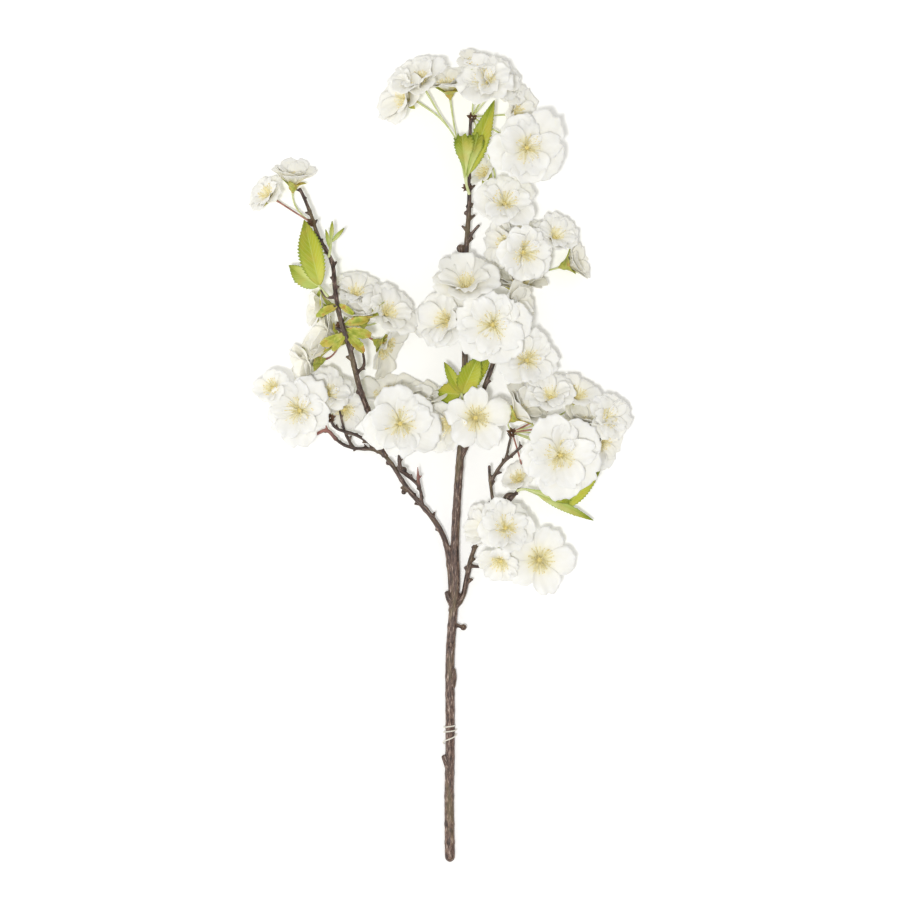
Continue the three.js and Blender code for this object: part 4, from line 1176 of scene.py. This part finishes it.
LIMBS = [
    Limb([(7, -286, 3.2), (6.5, -240, 3.3), (7, -212, 4.1), (7, -190, 5), (7, -142, 6.4), (9, -114, 8),
          (11, -90, 9.5), (10.5, -62, 12), (12, -30, 14.5), (14.5, 4.5, 17), (17, 29, 18), (17.5, 59, 19),
          (17.5, 95, 19), (18, 136, 19), (20.5, 180, 19), (20.5, 207, 19), (21.5, 237, 20)],
         [3.6, 3.4, 3.3, 3.2, 3, 2.8, 2.2, 2.1, 1.6, 1.2], (0.0, 1.0)),
    Limb([(8.5, -109, 7), (6.5, -76, 9), (3, -58, 11), (-5.5, -43, 13), (-22.5, -23, 15), (-38, -0.5, 16),
          (-46, 4.5, 16), (-61.5, 6, 15), (-70, 9.5, 14), (-80, 18, 13), (-89, 14.5, 12)],
         [2.2, 2, 1.8, 1.3, 1], (0.35, 1.1)),
    Limb([(-73, 12, 13.8), (-80, 18.5, 14), (-88, 15.5, 13.5)], [1.25, 1.15, 0.9], (1.2, 1.9)),
    Limb([(-12.5, -34.5, 14), (-14.5, -22, 17), (-22.5, -13.5, 19), (-28, -9.5, 21)], [1.2, 1.1, 1.7]),
    Limb([(-43, 3, 15.5), (-49.5, 9.5, 18), (-59, 15, 20), (-73, 20, 21), (-77, 25.5, 22)], [1.4, 1]),
    Limb([(-61.5, 6.5, 15), (-66.5, 16.5, 18), (-70.5, 32, 20)], [1.2, 0.8]),
    Limb([(-38.5, 0.5, 16), (-45, 18.5, 22), (-51, 34, 32), (-56, 48, 38), (-62.5, 74.5, 44),
          (-69.5, 97, 46), (-73, 116.5, 42), (-75.5, 136, 36), (-85.5, 154.5, 30), (-89.5, 167, 27),
          (-96, 183, 24), (-98.5, 188, 23.5)], [2.1, 2, 1.8, 1.5, 1.2]),
    Limb([(-73, 111, 43), (-78.5, 111, 40), (-83, 116, 37)], [1.2, 1]),
    Limb([(20, 152.5, 19), (23.5, 158, 19.5), (27.5, 162.5, 20)], [1.2, 1]),
    Limb([(-58, 58, 41), (-53, 63.5, 40), (-54, 74.5, 38)], [1.2, 0.9]),
    Limb([(9, -109, 7), (16, -98.5, 9), (19, -85, 11), (21.5, -72.5, 13), (24.5, -63.5, 15), (26, -57, 17)],
         [2.1, 1.9, 1.3], (0.35, 0.9)),
    Limb([(21.5, -77, 12.5), (28, -77.5, 12), (35, -74, 12)], [1.2, 1]),
    Limb([(24.5, -63.5, 15), (33.5, -51.5, 15), (38, -39, 15), (36.5, -27, 17), (35, -15, 20),
          (34.5, -6.5, 22)], [1.5, 1.3, 1.1]),
    Limb([(35.4, -18, 19), (44, -4.5, 23), (50.5, 1, 25), (57.5, 7.5, 26)], [1.4, 1]),
    Limb([(46, -2.5, 23.7), (48.5, 9, 25), (50, 15, 26)], [1, 0.9]),
    Limb([(38, -39, 15), (45.5, -34.5, 16), (52.5, -27, 17), (57, -19, 18)], [1.3, 1]),
    Limb([(13.5, -4, 16), (19, 9.5, 18), (25, 31, 19), (31.5, 49.5, 20), (38, 67.5, 20), (45, 92, 20),
          (50.5, 111, 19), (54.5, 127, 18)], [2.1, 1.7, 1.2], (0.5, 1.0)),
    Limb([(11.5, -119, 8), (16.5, -120.5, 9)], [1.2, 1], (0.3, 0.3)),
    Limb([(-48, 7, 17.5), (-48.6, 12, 19), (-48.8, 17.5, 20.5)], [1.3, 1.2, 0.5], (1.0, 1.5)),
    Limb([(-28, -9, 21), (-28.6, -2, 22.5), (-29, 5.5, 24)], [1.5, 1.2, 0.5]),
    Limb([(-14.6, -22, 17), (-15.4, -15, 19), (-15.6, -7, 21)], [1.2, 1.1, 0.4], (1.0, 1.8)),
    Limb([(43, -34, 16.2), (48.5, -27, 17.4), (55, -26.5, 17.8)], [1.3, 2.0, 0.5]),
    Limb([(5.6, -223, 4.2), (3.9, -217, 4.6), (2.6, -211.5, 4.8)], [1.2, 1.5, 1.9], (0.4, 0.7)),
    Limb([(8, -105, 8.6), (6, -100, 9.2), (4.6, -95.5, 9.6)], [1.4, 2.2, 1.7], (0.6, 0.9)),
    Limb([(9.6, -163, 6), (10.6, -156, 6.4), (10.2, -150, 6.6)], [0.9, 1.3, 0.8], (0.4, 0.6)),
]
KNOBS = [  # bosses where twigs were cut: centre and radius
    ((7.5, -133, 9.2), 2), ((16.5, -120.5, 9), 2.3), ((14.6, 146, 20), 3.1), ((18, 196, 19), 1.6),
    ((23, 176.5, 19), 1.7), ((18.2, 171, 19), 1.6), ((-57, 45, 38), 1.8), ((-36.5, -4.5, 15.5), 1.8),
    ((-25.5, -9.5, 20.5), 2.4), ((-25.5, -25, 15), 1.9)]


@dataclass
class BudTree:
    """Geometry Nodes tree of the small buds and cut spurs that stand along the limbs."""

    bark: Material
    sizes: dict[str, float] = field(default_factory=lambda: {"Sides": 7, "Blunt": 0.58, "Seed": 5})

    def build(self) -> Tree:
        """Makes the tree: a tapered bud on each point, along its aim and stretched by its size.

        Returns:
            The tree.
        """
        tree, size = started("buds", self.sizes)
        node = partial(add_node, tree)
        bud = node("GeometryNodeMeshCone", {"Vertices": size["Sides"], "Side Segments": 3, "Depth": 1.0,
                                            "Radius Top": size["Blunt"], "Radius Bottom": 1.0})
        aim, stretch = [node("GeometryNodeInputNamedAttribute", {"Name": name}, data_type="FLOAT_VECTOR")
                        for name in ("aim", "stretch")]
        turn = node("FunctionNodeAlignRotationToVector", {"Vector": aim}, axis="Z")
        vary = node("FunctionNodeRandomValue", {2: 0.8, 3: 1.2, "Seed": size["Seed"]}, 1, data_type="FLOAT")
        scale = node("ShaderNodeVectorMath", {0: stretch, "Scale": vary}, operation="SCALE")
        row = node("GeometryNodeInstanceOnPoints", {
            "Points": size["Geometry"], "Instance": bud, "Rotation": turn, "Scale": scale})
        real = node("GeometryNodeRealizeInstances", {0: row})
        done = node("GeometryNodeSetMaterial", {"Geometry": real, "Material": self.bark})
        node("NodeGroupOutput", {0: done})
        return tree


@dataclass
class Wood:
    """The stem with all its limbs, fused in one skin of moulded bark."""

    voxel: float = 0.53
    spacing: float = 0.9
    sides: int = 16
    rounding: float = 3.5  # length over which the butt is rounded off
    thin: float = 1.95  # buds stand where a limb's radius is less
    bud_rows: int = 200
    streak_squash: float = 0.16  # length of the streaks' pattern along a limb against across it
    limb_apart: float = 9.0  # distance between the limbs in the streaks' pattern
    smooth_passes: int = 2
    smooth_share: float = 0.5

    def buds(self, looks: Finishes) -> Mesh:
        """Makes the small buds and spurs, on alternate sides of each thin limb.

        Args:
            looks: The finishes.

        Returns:
            Their mesh.
        """
        spots, aims, stretches = [], [], []
        for number, limb in enumerate(LIMBS):
            dice = random.Random(BUD_DRAWS + number)
            line = curve_points(limb.path, self.bud_rows)
            run = run_along(line)
            radii = np.interp(run, np.linspace(0, run[-1], len(limb.radii)), limb.radii)
            tangents = unit(np.gradient(line, axis=0))
            at, hand = dice.uniform(4, 9) if run[-1] > 14 else run[-1], 1
            while at < run[-1] - 2:
                i = int(np.searchsorted(run, at))
                if radii[i] < self.thin:
                    side = np.cross(tangents[i], [0, 0, 1]) * hand + [0, 0, dice.uniform(-0.4, 0.6)]
                    side /= np.linalg.norm(side)
                    spots.append(line[i])
                    aims.append(side + 0.9 * tangents[i])
                    width = radii[i] * 0.7 + 0.2
                    stretches.append((width, width, radii[i] * 1.3 + dice.choice([1.0, 1.6, 2.4, 3.4])))
                at, hand = at + dice.uniform(6, 14), -hand
        mesh = bpy.data.meshes.new("bud_points")
        mesh.from_pydata(np.array(spots) * MM, [], [])
        store(mesh, "aim", np.array(aims))
        store(mesh, "stretch", np.array(stretches) * MM)
        return grown(BudTree(looks.bark).build(), mesh)

    def ripple(self, number: int, run: Array, dice: random.Random) -> Array:
        """Works out the nodes and ridges of a limb.

        Args:
            number: The limb's number, 0 for the stem.
            run: Length of the limb up to each of its points.
            dice: Random numbers of this limb.

        Returns:
            The share of the radius that they add, at each point and side.
        """
        nodes = np.zeros(len(run))
        spot = dice.uniform(6, 14)
        swell = 1.0 if number else 0.45
        while spot < run[-1] - 3:
            nodes += dice.uniform(0.10, 0.22) * swell * np.exp(-((run - spot) / dice.uniform(1.0, 2.0)) ** 2)
            spot += dice.uniform(11, 24)
        nodes += 0.35 * np.exp(-(run / 2.5) ** 2) * (number > 0)  # the collar where it leaves its parent
        angle = np.arange(self.sides) / self.sides * TURN
        phase = [dice.uniform(0, LOOSE_PHASE) for _ in range(5)]
        along = run[:, None]
        ridge = (0.035 * np.sin(3 * angle + 0.04 * along + phase[0])
                 + 0.02 * np.sin(5 * angle - 0.07 * along + phase[1])
                 + 0.02 * np.sin(7 * angle + 0.6 * np.sin(along * 0.23) + phase[2])
                 + 0.012 * np.sin(along * 0.9 + 2 * np.sin(angle) + phase[3]))
        return ridge + nodes[:, None]

    def tubes(self) -> tuple[Shell, Array, Array]:
        """Makes the limbs as tubes with ridges and nodes.

        Returns:
            The shell, the points of all the limbs' middle lines, and at each its limb number, run and age.
        """
        shell, points, facts = Shell(), [], []
        for number, limb in enumerate(LIMBS):
            rough = np.linalg.norm(np.diff(np.array(limb.path), axis=0), axis=1).sum()
            count = max(8, int(rough / self.spacing))
            line = curve_points(limb.path, count)
            share = np.linspace(0, 1, count)
            radii = np.interp(share, np.linspace(0, 1, len(limb.radii)), limb.radii)
            run = share * rough
            if number == 0:
                radii = radii * np.sqrt(1 - 0.75 * np.clip(1 - run / self.rounding, 0, 1) ** 2)
            ripple = self.ripple(number, run, random.Random(LIMB_DRAWS + number))
            shell.tube(line, radii, self.sides, ripple=ripple)
            points.append(line)
            facts.append(np.column_stack([np.full(count, number), run, np.interp(share, [0, 1], limb.age)]))
        for centre, radius in KNOBS:
            ends = np.array([[0, 0, -0.7], [0, 0, 0.7]]) * radius + centre
            shell.tube(np.linspace(ends[0], ends[1], 9),
                       radius * np.sqrt(1.05 - np.linspace(-0.95, 0.95, 9) ** 2), 12)
        return shell, np.vstack(points), np.vstack(facts)

    def build(self, looks: Finishes) -> Piece:
        """Fuses the tubes, roughens the skin and gives each corner its place along its limb.

        Args:
            looks: The finishes.

        Returns:
            The piece.
        """
        shell, points, facts = self.tubes()
        shell.copy_of(self.buds(looks), Matrix.Identity(4))
        obj = shell.piece("bark_of_stem", [looks.bark])
        remesh = obj.modifiers.new("fuse", "REMESH")
        remesh.mode = "VOXEL"
        remesh.voxel_size = self.voxel * MM
        remesh.adaptivity = 0.0
        soften = obj.modifiers.new("soften", "SMOOTH")
        soften.iterations = self.smooth_passes
        soften.factor = self.smooth_share
        mesh = evaluated(obj)
        obj.modifiers.clear()
        obj.data = mesh
        self.mark(mesh, points, facts)
        mesh.polygons.foreach_set("use_smooth", [True] * len(mesh.polygons))
        return settle(obj, "stem", "stem")

    def mark(self, mesh: Mesh, points: Array, facts: Array) -> None:
        """Stores the grain and age of the bark on each corner, from the nearest limb.

        Args:
            mesh: The fused mesh.
            points: Points of the limbs' middle lines.
            facts: Limb number, run and age at each point.
        """
        tree = kdtree.KDTree(len(points))
        for i, point in enumerate(points):
            tree.insert(point, i)
        tree.balance()
        corners = corners_of(mesh)
        near = np.array([tree.find(corner)[1] for corner in corners])
        off = corners - points[near]
        # The streaks are six times as long as they are wide, and each limb has its own.
        number, run, age = facts[near].T
        grain = off + np.column_stack([0 * near, run * self.streak_squash, number * self.limb_apart])
        tangent = unit(np.gradient(points, axis=0)[near])
        along = np.einsum("ij,ij->i", off, tangent)
        store(mesh, "grain", grain - tangent * (along * (1 - self.streak_squash))[:, None])
        store(mesh, "age", age)


@dataclass
class Tie:
    """White two-ply thread wound round the stem, with a slack end."""

    centre: Spot = (7, -190, 5)
    wrap: float = 4.45
    turns: float = 2.5
    pitch: float = 3.4
    radius: float = 0.5
    start: float = 40.0  # heading at which it begins, in degrees
    steps: int = 25
    slack_steps: int = 6
    twists: int = 26

    def path(self) -> Array:
        """Winds the thread's middle line.

        Returns:
            Its points.
        """
        spots = []
        for i in range(self.steps + 1):
            angle = i / self.steps * self.turns * TURN + math.radians(self.start)
            slack = max(i - self.steps + self.slack_steps, 0) * 0.5
            spots.append((self.centre[0] + (self.wrap + slack * 0.2) * math.cos(angle),
                          self.centre[1] - i / self.steps * self.turns * self.pitch - slack * 1.6,
                          max(self.centre[2] + self.wrap * math.sin(angle), self.radius)))
        return curve_points(np.array(spots), 260)

    def build(self, looks: Finishes) -> Piece:
        """Twists two plies round the thread's line.

        Args:
            looks: The finishes.

        Returns:
            The piece.
        """
        shell = Shell()
        line = self.path()
        one, other = frames_along(line)
        run = np.linspace(0, 1, len(line)) * self.twists * TURN
        for ply in (0, math.pi):
            off = one * np.cos(run + ply)[:, None] + other * np.sin(run + ply)[:, None]
            shell.tube(line + off * self.radius * 0.5, np.full(len(line), self.radius * 0.52), 7)
        return settle(shell.piece("thread_tie", [looks.thread]), "thread", "tie")


# ---- Leaves ---------------------------------------------------------------------------------


TOOTH = 2.3  # length of a tooth of the leaf's edge
FOLDS = 6.5  # the cloth of a blade puffs up this often between its side veins


@dataclass(frozen=True)
class Blade:
    """A leaf blade from base to tip, arched by lift, folded by fold and rolled about its rib.

    Fold is in radians. A blunt blade stays wide to a ragged end, as a young leaf does that hasn't
    unrolled, and pale is how far its base has kept the colour of a young leaf.
    """

    base: Spot
    tip: Spot
    width: float
    lift: float
    fold: float
    roll: float
    blunt: float = 0.0
    pale: float = 0.0

    def grid(self, seed: int) -> Array:
        """Lays out the blade's middle surface, with saw-cut edges.

        Args:
            seed: Number of its random draws.

        Returns:
            A grid of points, rows along it and columns across.
        """
        dice = random.Random(seed)
        start, end = np.array(self.base, float), np.array(self.tip, float)
        middle = (start + end) / 2 + np.array([0, 0, self.lift])
        length = np.linalg.norm(end - start)
        teeth = max(4, int(length / TOOTH))
        share = np.linspace(0, 1, teeth * 4 + 1)
        rib = bezier(start, middle, end, share)
        tangent = unit(np.gradient(rib, axis=0))
        across = unit(np.cross(tangent, [0, 0, 1]))
        raised = np.cross(across, tangent)
        roll = math.radians(self.roll)
        across, raised = (across * math.cos(roll) + raised * math.sin(roll),
                          raised * math.cos(roll) - across * math.sin(roll))
        pointed = np.sin(math.pi * share ** 0.8) ** 0.85
        half = (self.width / 2) * (pointed + self.blunt * (smooth(share, 0.0, 0.9) - pointed)) + 0.12
        saw = 1 + 0.22 * (((share * teeth) % 1) - 0.4) * smooth(share, 0.06, 0.2)
        side = np.linspace(-1, 1, 13)
        off = np.abs(side)[None, :]
        reach = half[:, None] * off * (1 + (saw[:, None] - 1) * off ** 4)
        phase = dice.uniform(0, LOOSE_PHASE)
        # The cloth puffs up between the side veins and waves at its edge.
        slant = share[:, None] - 0.28 * off
        puff = np.abs(np.sin(slant * math.pi * FOLDS + 0.4)) * np.sin(off * math.pi) ** 0.7
        wave = 0.05 * self.width * side[None, :] ** 2 * np.sin(share[:, None] * 9 + phase + side[None, :])
        lift = reach * math.sin(self.fold) + 0.028 * self.width * puff + wave
        ragged = 0.05 * np.sin(9 * side + phase) + 0.03 * np.sin(23 * side) - 0.12 * side ** 2
        ahead = self.blunt * length * smooth(share, 0.6, 1.0)[:, None] * ragged[None, :]
        hand = np.sign(side)[None, :, None]
        return (rib[:, None] + across[:, None] * hand * (reach * math.cos(self.fold))[..., None]
                + raised[:, None] * lift[..., None] + tangent[:, None] * ahead[..., None])


@dataclass
class Tuft:
    """Leaf blades on their shared leaf stalk."""

    name: str
    stalk: list[Spot]
    blades: list[Blade]

    def build(self, looks: Finishes, seed: int) -> Piece:
        """Makes the leaf stalk and the veined blades.

        Args:
            looks: The finishes.
            seed: Number of the first blade's random draws.

        Returns:
            The piece.
        """
        shell = Shell()
        line = curve_points(self.stalk, 16)
        shell.tube(line, np.linspace(1.1, 0.8, 16), 10, look=1, tone=0.5)
        for number, blade in enumerate(self.blades):
            shell.sheet(lie_down(blade.grid(seed + number)[:, ::-1]), LEAF_THICKNESS, blade.pale)
            foot = np.vstack([line[-3], (line[-1] + blade.base) / 2, blade.base])
            shell.tube(curve_points(foot, 8), np.linspace(0.8, 0.4, 8), 8, look=1, tone=0.5)
        piece = shell.piece(f"leaf_{self.name}", [looks.leaf, looks.green])
        return settle(piece, "leaf", self.name)


TUFTS = [
    Tuft("leaves_top", [(20.5, 184, 22), (18.5, 191, 25), (18.5, 197, 27)], [
        Blade((17.8, 196, 27), (15.5, 224.5, 33), 16.5, 5, 0.4, -14, 0.9, 0.7),
        Blade((19.4, 196, 27.5), (26.5, 225, 31), 15, 4, 0.4, 16, 0.9, 0.7),
        Blade((18.7, 197, 26), (38, 249, 32), 14, -8, 0.3, 0)]),
    Tuft("leaves_left", [(-78, 111.5, 42), (-81, 115, 38), (-84.5, 119.5, 35)], [
        Blade((-84, 119.5, 35), (-95, 165.5, 27), 19, 5, 0.35, 12),
        Blade((-85, 118.5, 34.5), (-106, 134, 22), 14, 1, 0.4, 20, 0, 0.6)]),
    Tuft("shoot", [(-77.5, 139, 36), (-76.5, 146, 34), (-76, 152, 32)], [
        Blade((-76.5, 145, 34), (-80, 159, 27), 3, 0, 0.3, 0, 0, 0.8),
        Blade((-76, 151, 32), (-75.5, 165, 26), 3, 0, 0.3, 0, 0, 0.8),
        Blade((-75.5, 150, 32), (-67, 160, 27), 3, 0, 0.3, 0, 0, 0.8)]),
    Tuft("leaves_middle", [(17, 36, 23), (15.5, 41, 25), (15, 45, 26)], [
        Blade((14.5, 44.5, 26.5), (3, 66, 26), 8, 3, 0.3, 0),
        Blade((15.5, 44.5, 26.5), (27, 70, 32), 17, 5, 0.35, -6),
        Blade((16, 44, 25.5), (36, 71.5, 25), 12, 1, 0.4, 10),
        Blade((14.2, 43.5, 25.5), (-2, 45, 21), 16, 2, 0.35, 0)]),
    Tuft("leaves_right", [(54, -24, 21.5), (57.5, -23, 23), (61, -23, 24)], [
        Blade((68, -26.3, 23), (108, -45, 12), 6.5, 4, 0.3, 0, 0, 0.8),
        Blade((60, -22.5, 24.5), (91, -31, 21.5), 8, 3, 0.3, 12, 0.8, 1.0),
        Blade((88, -36, 16), (112, -10, 25), 10, 3, 0.3, 0)]),
]


# ---- Where the flowers stand ----------------------------------------------------------------

FULL, OPEN, HALF = Form.FULL, Form.OPEN, Form.HALF
# Each bunch's spur and its flowers, as fields of Bloom.
BLOOMS = {
    "top": ((22.5, 238.5, 20), [
        ((32, 262, 36), 21, (120, 30), FULL), ((24, 275, 27), 13, (90, 55), OPEN, True),
        ((40, 260, 24), 22, (35, 45), OPEN), ((54, 241, 15), 18, (0, 50), OPEN, True),
        ((61, 215, 38), 27, (-40, 12), FULL), ((31, 199, 20), 11, (150, 50), OPEN)]),
    "top_left": ((18.6, 189, 20.5), [
        ((-25, 252, 17), 22, (168, 55), OPEN), ((-14, 264, 25), 20, (120, 48), OPEN, True),
        ((6, 261, 16), 21, (97, 64), OPEN)]),
    "upper": ((55, 129, 18), [
        ((45.5, 177.5, 32), 21, (70, 22), FULL), ((59, 142.5, 34), 22, (-30, 22), FULL),
        ((46, 149.5, 17), 18, (190, 45), OPEN), ((54, 158, 20), 18, (70, 60), HALF, True),
        ((81, 154.5, 24), 17, (60, 35), OPEN), ((95, 137, 12), 15, (18, 66), HALF),
        ((56, 120, 13), 22, (86, 66), OPEN)]),
    "middle": ((41, 76, 24), [
        ((36.5, 91.5, 42), 26, (250, 10), FULL, False, 10),
        ((52, 104.5, 35), 19, (10, 62), HALF, True), ((61.5, 67.5, 28), 22, (30, 15), FULL)]),
    "middle_left": ((15.3, 103, 22), [
        ((18, 120.5, 34), 23, (95, 42), OPEN), ((3.5, 95.5, 25), 22, (170, 30), OPEN)]),
    "centre": ((16, 14, 21.5), [
        ((25, 27, 36), 22, (0, 5), FULL, False, 18, True), ((5, 22, 25), 19, (205, 42), OPEN, True),
        ((-12, 40, 20), 17, (88, 64), HALF)]),
    "inner": ((-37, 5, 19.5), [
        ((-27.5, 23, 38), 27, (0, 5), FULL), ((-36, 42, 16), 24, (92, 56), OPEN, False, None, True)]),
    "left": ((-77, 27, 22), [
        ((-98.5, 32, 34), 24, (200, 10), FULL, False, 60),
        ((-117, 48, 34), 13, (140, 30), OPEN, True), ((-78.5, 44.5, 24), 17, (80, 25), FULL),
        ((-67, 32.5, 14), 15, (-60, 30), OPEN)]),
    "riser": ((-69.5, 91.5, 44), [
        ((-54.5, 100, 34), 14, (95, 58), HALF), ((-59, 115, 22), 17, (80, 40), OPEN),
        ((-36.5, 101, 24), 21, (45, 40), OPEN), ((-39, 77, 17), 20, (-32, 68), OPEN, False, None, True),
        ((-80, 84, 18), 21, (165, 72), HALF), ((-84, 105, 21), 15, (178, 70), HALF, True),
        ((-94, 65, 9), 18, (196, 70), HALF)]),
    "crown": ((-90.5, 164, 28), [
        ((-121, 184, 17), 15, (148, 52), FULL), ((-103, 198, 12), 16, (85, 62), HALF)]),
    "right": ((50.5, 17, 26), [
        ((84, 0.5, 42), 29, (-90, 8), FULL), ((77.5, 42.5, 32), 17, (95, 35), OPEN),
        ((96, 43, 27), 15, (70, 45), OPEN, True), ((117.5, 27, 26), 17, (15, 30), FULL),
        ((103, 25, 22), 18, (80, 58), HALF), ((114, 9.5, 8.5), 18, (-25, 52), OPEN),
        ((58, 33, 32), 19, (42, 60), HALF), ((55.5, -15.5, 14), 12, (130, 40), OPEN)]),
    "low": ((27.5, -55.5, 19.5), [
        ((46, -49.5, 30), 20, (80, 15), FULL), ((30, -49, 22), 15, (170, 52), HALF, True),
        ((70, -72.5, 24), 22, (0, 5), FULL, False, 68, True), ((42, -74, 28), 14, (-110, 35), OPEN)]),
}

# What some bunches have of their own: a leaf rolled round the stalks, the size of the sepals, and
# bracts round the spur.
SHEATHS = {"top_left": (12.5, 219, 25.5)}
LEAFY = {"riser": 1.35, "crown": 0.8, "inner": 1.15}
BRACTS = {"riser": [
    Blade((-71, 105, 45.5), (-86, 97.5, 43), 8, 3, 0.6, -14, 0.3),
    Blade((-67, 85, 45), (-83, 78, 42), 10, 3, 0.6, 16, 0.4),
    Blade((-66, 86.5, 45), (-74.5, 73.5, 42), 9, 3, 0.6, -10, 0.2),
    Blade((-66, 92, 45.5), (-50, 95, 43.5), 9, 3, 0.6, 14, 0.4),
    Blade((-65, 88.5, 45), (-48, 84.5, 43), 11, 4, 0.7, -10, 0.4),
    Blade((-65, 85.5, 44.5), (-53, 72.5, 42), 10, 3, 0.7, 12, 0.3),
    Blade((-70, 106, 45.5), (-60, 99, 44), 6, 2, 0.6, 0, 0.3)]}


# ---- Studio ---------------------------------------------------------------------------------


@dataclass
class Studio:
    """A white floor, soft light and the camera straight above."""

    centre: tuple[float, float] = (7 * MM, 4.55 * MM)
    height: float = 2.53
    lens: float = 143.0
    sensor: float = 36.0
    reach: float = 4.0
    world: float = 0.54
    floor_glow: float = 0.15  # keeps the paper white in its shadows

    def build(self) -> None:
        """Makes the floor, the lights and the camera."""
        scene = bpy.context.scene
        scene.view_settings.view_transform = "Standard"
        scene.view_settings.look = "None"
        mesh = bpy.data.meshes.new("studio_floor")
        corners = [(x * self.reach, y * self.reach, 0) for x, y in ((-1, -1), (1, -1), (1, 1), (-1, 1))]
        mesh.from_pydata(corners, [], [(0, 1, 2, 3)])
        # Coated paper: an even matt white.
        paper = Mottled("floor_paper_coated", 0.9, 1.5, 0.0, 0.0, "#fbfbfb", "#f9f9f9", 400.0, 0.0).make()
        shader = paper.node_tree.nodes["Principled BSDF"].inputs
        shader["Emission Color"].default_value = linear("#ffffff")
        shader["Emission Strength"].default_value = self.floor_glow
        mesh.materials.append(paper)
        show("studio_floor", mesh)
        world = bpy.data.worlds.new("studio")
        world.use_nodes = True
        background = world.node_tree.nodes["Background"].inputs
        background["Color"].default_value = linear("#fffefa")
        background["Strength"].default_value = self.world
        scene.world = world
        self.light("softbox", (-0.27, -0.30, 3.6), 0.26, 60.0)
        self.light("fill_left", (-1.6, -0.3, 0.3), 0.5, 4.5)
        camera = bpy.data.cameras.new("camera")
        camera.lens, camera.sensor_width = self.lens, self.sensor
        camera.clip_start, camera.clip_end = 0.05, 20
        holder = show("camera", camera)
        holder.location = (*self.centre, self.height)
        scene.camera = holder

    def light(self, name: str, spot: Spot, side: float, watts: float) -> None:
        """Adds a square area light aimed at the middle of the sprig.

        Args:
            name: Its name.
            spot: Where it hangs.
            side: Length of its side.
            watts: Its power.
        """
        lamp = bpy.data.lights.new(name, "AREA")
        lamp.energy, lamp.size = watts, side
        obj = show(name, lamp)
        obj.location = spot
        aim = Vector((*self.centre, 0.0)) - Vector(spot)
        obj.rotation_euler = aim.to_track_quat("-Z", "Y").to_euler()


def main() -> None:
    """Builds the sprig in order: wood, tie, bunches, leaves, studio."""
    logging.basicConfig(level=logging.INFO, format="%(name)s %(message)s")
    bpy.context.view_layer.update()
    looks = Finishes()
    Wood().build(looks)
    Tie().build(looks)
    tree = StamenTree(looks.filament, looks.anther).build()
    seed = 1
    for name, (spur, rows) in BLOOMS.items():
        blooms = [Bloom(*row) for row in rows]
        bunch = Bunch(name, spur, blooms, seed, SHEATHS.get(name), LEAFY.get(name, 1.0), BRACTS.get(name, []))
        seed += len(rows)
        bunch.stalks(looks)
        bunch.petals(looks)
        bunch.stamens(tree, looks)
    for number, tuft in enumerate(TUFTS):
        tuft.build(looks, LEAF_DRAWS + 10 * number)
    Studio().build()


if __name__ == "__main__":
    main()
